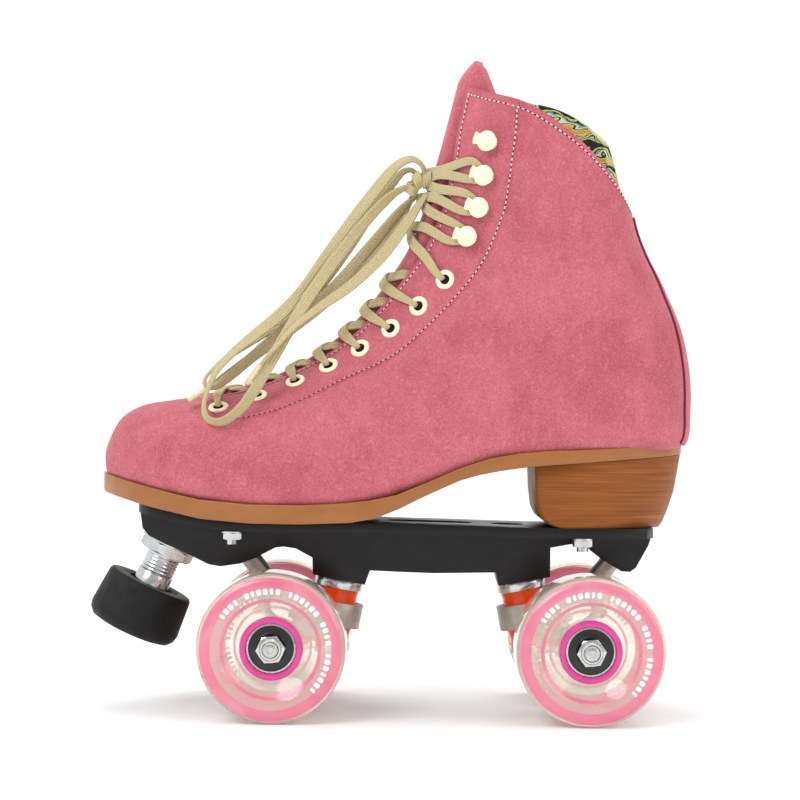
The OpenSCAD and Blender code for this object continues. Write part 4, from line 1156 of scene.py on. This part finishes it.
def tyre_form():
    outer = [(r, face_height(r)) for r in FACE_RADII]
    outer += [(WHEEL_R - LIP_R + LIP_R * math.sin(t), WHEEL_HALF - LIP_R + LIP_R * math.cos(t))
              for t in np.radians(np.arange(10, 91, 10))]
    return lathe(outer + [(r, -z) for r, z in reversed(outer)], 128)


def print_mark(i):
    """One raised dab of the generic printed ring; every third is narrower."""
    angle = math.radians(MARK_START + i * MARK_STEP)
    half, tall = 0.95 if i % 3 else 0.62, 1.25
    turn = circle(20)
    p, q = half * signed_pow(np.cos(turn), 0.5), tall * signed_pow(np.sin(turn), 0.5)
    across = MARK_R * math.sin(angle) + p * math.cos(angle) + q * math.sin(angle)
    up = MARK_R * math.cos(angle) - p * math.sin(angle) + q * math.cos(angle)
    return [(a, b, WHEEL_HALF + h) for h in (0.02, 0.17) for a, b in zip(across, up)], tube_faces(2, 20, -1)


def add_wheel(name, x, side, looks):
    body = f"{name}_wheel"
    at = (x, side * WHEEL_Y, AXLE_Z)
    tyre, band, marks, shield = Parts(), Parts(), Parts(), Parts()
    tyre.stand(tyre_form(), at, (0, side, 0))
    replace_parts(tyre.piece(f"{name}_tyre_clear", looks["clear"], slot="urethane", body=body, angle=50),
                f"{name}_tyre")
    for way in (-1, 1):
        direction = (0, side * way, 0)
        for low, high, steps in PINK_BANDS:
            rs = np.linspace(low, high, steps)
            line = [(r, face_height(r) + 0.08) for r in rs] + [(r, face_height(r) - 0.35) for r in rs[::-1]]
            band.stand(lathe(line, 128), at, direction)
        for i in range(MARKS):
            if i not in MARK_GAPS:
                marks.stand(print_mark(i), at, direction)
        shield.stand(lathe(SHIELD_FORM, 72), at, direction)
    band.piece(f"{name}_pink_bands", looks["pink"], slot="urethane", body=body, angle=50)
    marks.piece(f"{name}_print_marks", looks["white"], slot="urethane", body=body)
    shield.piece(f"{name}_bearing_shields", looks["shield"], slot="bearing_steel", body=body)
    dress(f"{name}_hub", looks["hub"], 0.35)
    dress(f"{name}_bearings", looks["bearing"], 0.2)
    dress(f"{name}_balls", looks["bearing"])


# ---------------------------------------------------------------- trucks, plate and toe stop
STOP_AT, STOP_LEAN = (-100, 0, 74.6), math.radians(24.6)
STOP_DOWN = (-math.sin(STOP_LEAN), 0, -math.cos(STOP_LEAN))


STOP_COLLAR = [(0, 15.2), (8.0, 15.2), (8.3, 15.6), (8.3, 22.9), (0, 22.9)]
STOP_RIM = [(13.2, 20.7), (13.2, 20.5), (13.5, 20.4), (17.6, 20.4), (18.0, 20.5), (18.0, 20.7)]


def add_toe_stop(looks):
    stem, nut, rim = Parts(), Parts(), Parts()
    stem.stand(threaded_rod(7.9, -7, 32, 1.6, 0.3, 56), STOP_AT, STOP_DOWN)
    stem.stand(lathe(STOP_COLLAR, 56, closed=False), STOP_AT, STOP_DOWN)
    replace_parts(stem.piece("stop_stem_threaded", looks["zinc"], slot="zinc_plate", body="toe_stop", angle=60),
                "toe_stop_stem")
    points, faces = hex_nut(22.0, 4.8, 7.95)
    nut.stand((points + (0, 0, 1.2), faces), STOP_AT, STOP_DOWN, turn=0.22)
    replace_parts(nut.piece("stop_jam_nut", looks["zinc"], slot="zinc_plate", angle=25), "toe_stop_jam_nut")
    dress("toe_stop_washer", looks["zinc"], 0.25)
    dress("toe_stop_rubber", looks["stop"], 1.2, 30, 3)
    # Painted highlight: a lighter grey-olive ring on the rubber's top face stands for the light caught by its rim.
    rim.stand(lathe(STOP_RIM, 72), STOP_AT, STOP_DOWN)
    rim.piece("stop_rim_highlight", looks["rim_highlight"], slot="stop_rubber", body="toe_stop", angle=60)


def add_trucks(looks):
    pin_nuts = Parts()
    for truck in TRUCKS:
        matrix = kingpin_frame(truck) @ Matrix.Translation((0, 0, KINGPIN_NUT_AT))
        pin_nuts.carry(hex_nut(13.0, 4.0, 4.0, (5.6, 1.9)), matrix)
        add_axle_ends(truck, looks["bearing"], looks["zinc"])
        dress(f"{truck}_hanger", looks["cast"], 0.9, 40, 3)
        dress(f"{truck}_cushions", looks["cushion"], 0.5, 40, 3)
        dress(f"{truck}_inner_races", looks["bearing"], 0.2)
        dress(f"{truck}_axle_washers", looks["zinc"], 0.12)
    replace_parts(pin_nuts.piece("kingpin_nuts_chamfered", looks["zinc"], slot="zinc_plate", angle=25),
                "kingpin_lock_nuts")
    dress("kingpins", looks["zinc"], 0.5)
    dress("cushion_retainers", looks["zinc"], 0.4)


def add_plate(looks):
    dress("plate", looks["nylon"], 1.1, 35, 3)
    dress("pivot_cups", looks["nylon"], 0.5)
    dress("plate_bolts", looks["zinc"], 0.2)
    dress("plate_washers", looks["zinc"], 0.15)
    nuts = Parts()
    for x, height in ((-70, 81.7), (86, 80.1)):
        for side in (-1, 1):
            nuts.stand(hex_nut(8.0, 2.9, 2.52), (x, side * 27, height - 1), (0, 0, -1), turn=0.4)
    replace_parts(nuts.piece("plate_nuts_chamfered", looks["zinc"], slot="zinc_plate", angle=25), "plate_nuts")


def add_floor(material):
    size = 6.0
    corners = [(-size, -size, 0), (size, -size, 0), (size, size, 0), (-size, size, 0)]
    mesh = bpy.data.meshes.new("floor")
    mesh.from_pydata(corners, [], [(0, 1, 2, 3)])
    mesh.materials.append(material)
    floor = bpy.data.objects.new("floor", mesh)
    bpy.context.scene.collection.objects.link(floor)


def build():
    add_camera()
    add_studio()
    add_floor(floor_paint())
    skin_side, flesh, edge = suede(), lining_leather(), suede_edge()
    cotton, enamel = lace_cotton(), cream_enamel()
    add_bow(cotton, aglet_film())
    add_knot(cotton)
    add_crossings(cotton)
    add_upper(skin_side, flesh, edge)
    add_facings(skin_side)
    add_tongue(skin_side)
    add_collar_lining(printed_cotton())
    # Painted shade: a dark colour for the shade in the back seams.
    add_backstay(skin_side, shadow_cloth("seam_shadow", rgb(112, 44, 58)))
    add_insole(lining_leather())
    # Painted shade: a dark colour for the shade inside the needle holes.
    add_stitching(thread(), shadow_cloth("needle_hole", rgb(92, 30, 42)))
    # Painted shade: a dark disc for the shade inside each eyelet.
    add_eyelets(enamel, shadow_cloth("eyelet_shadow", rgb(34, 20, 20)))
    add_hooks(enamel)
    dress("outsole", sole_leather(), 0.6, 45, 3)
    dress("heel_block", stacked_heel(), 0.6, 45, 3)
    looks = {
        "zinc": metal("zinc_plate", rgb(196, 199, 199), 0.20),
        "bearing": metal("bearing_steel", rgb(196, 197, 193), 0.26),
        "cast": cast_metal(), "nylon": nylon(), "stop": rubber("stop_rubber", rgb(14, 14, 14)),
        # Painted highlight: the lighter rubber of the toe stop's rim ring.
        "rim_highlight": rubber("rim_highlight_rubber", rgb(80, 84, 72)), "cushion": cushion_urethane(),
        "clear": clear_urethane(), "pink": pink_band(),
        "white": printed_ink(), "shield": black_shield(), "hub": hub_plastic()}
    add_plate(looks)
    add_trucks(looks)
    add_toe_stop(looks)
    for truck, (x, _) in TRUCKS.items():
        for side, hand in ((-1, "left"), (1, "right")):
            add_wheel(f"{truck}_{hand}", x, side, looks)


build()
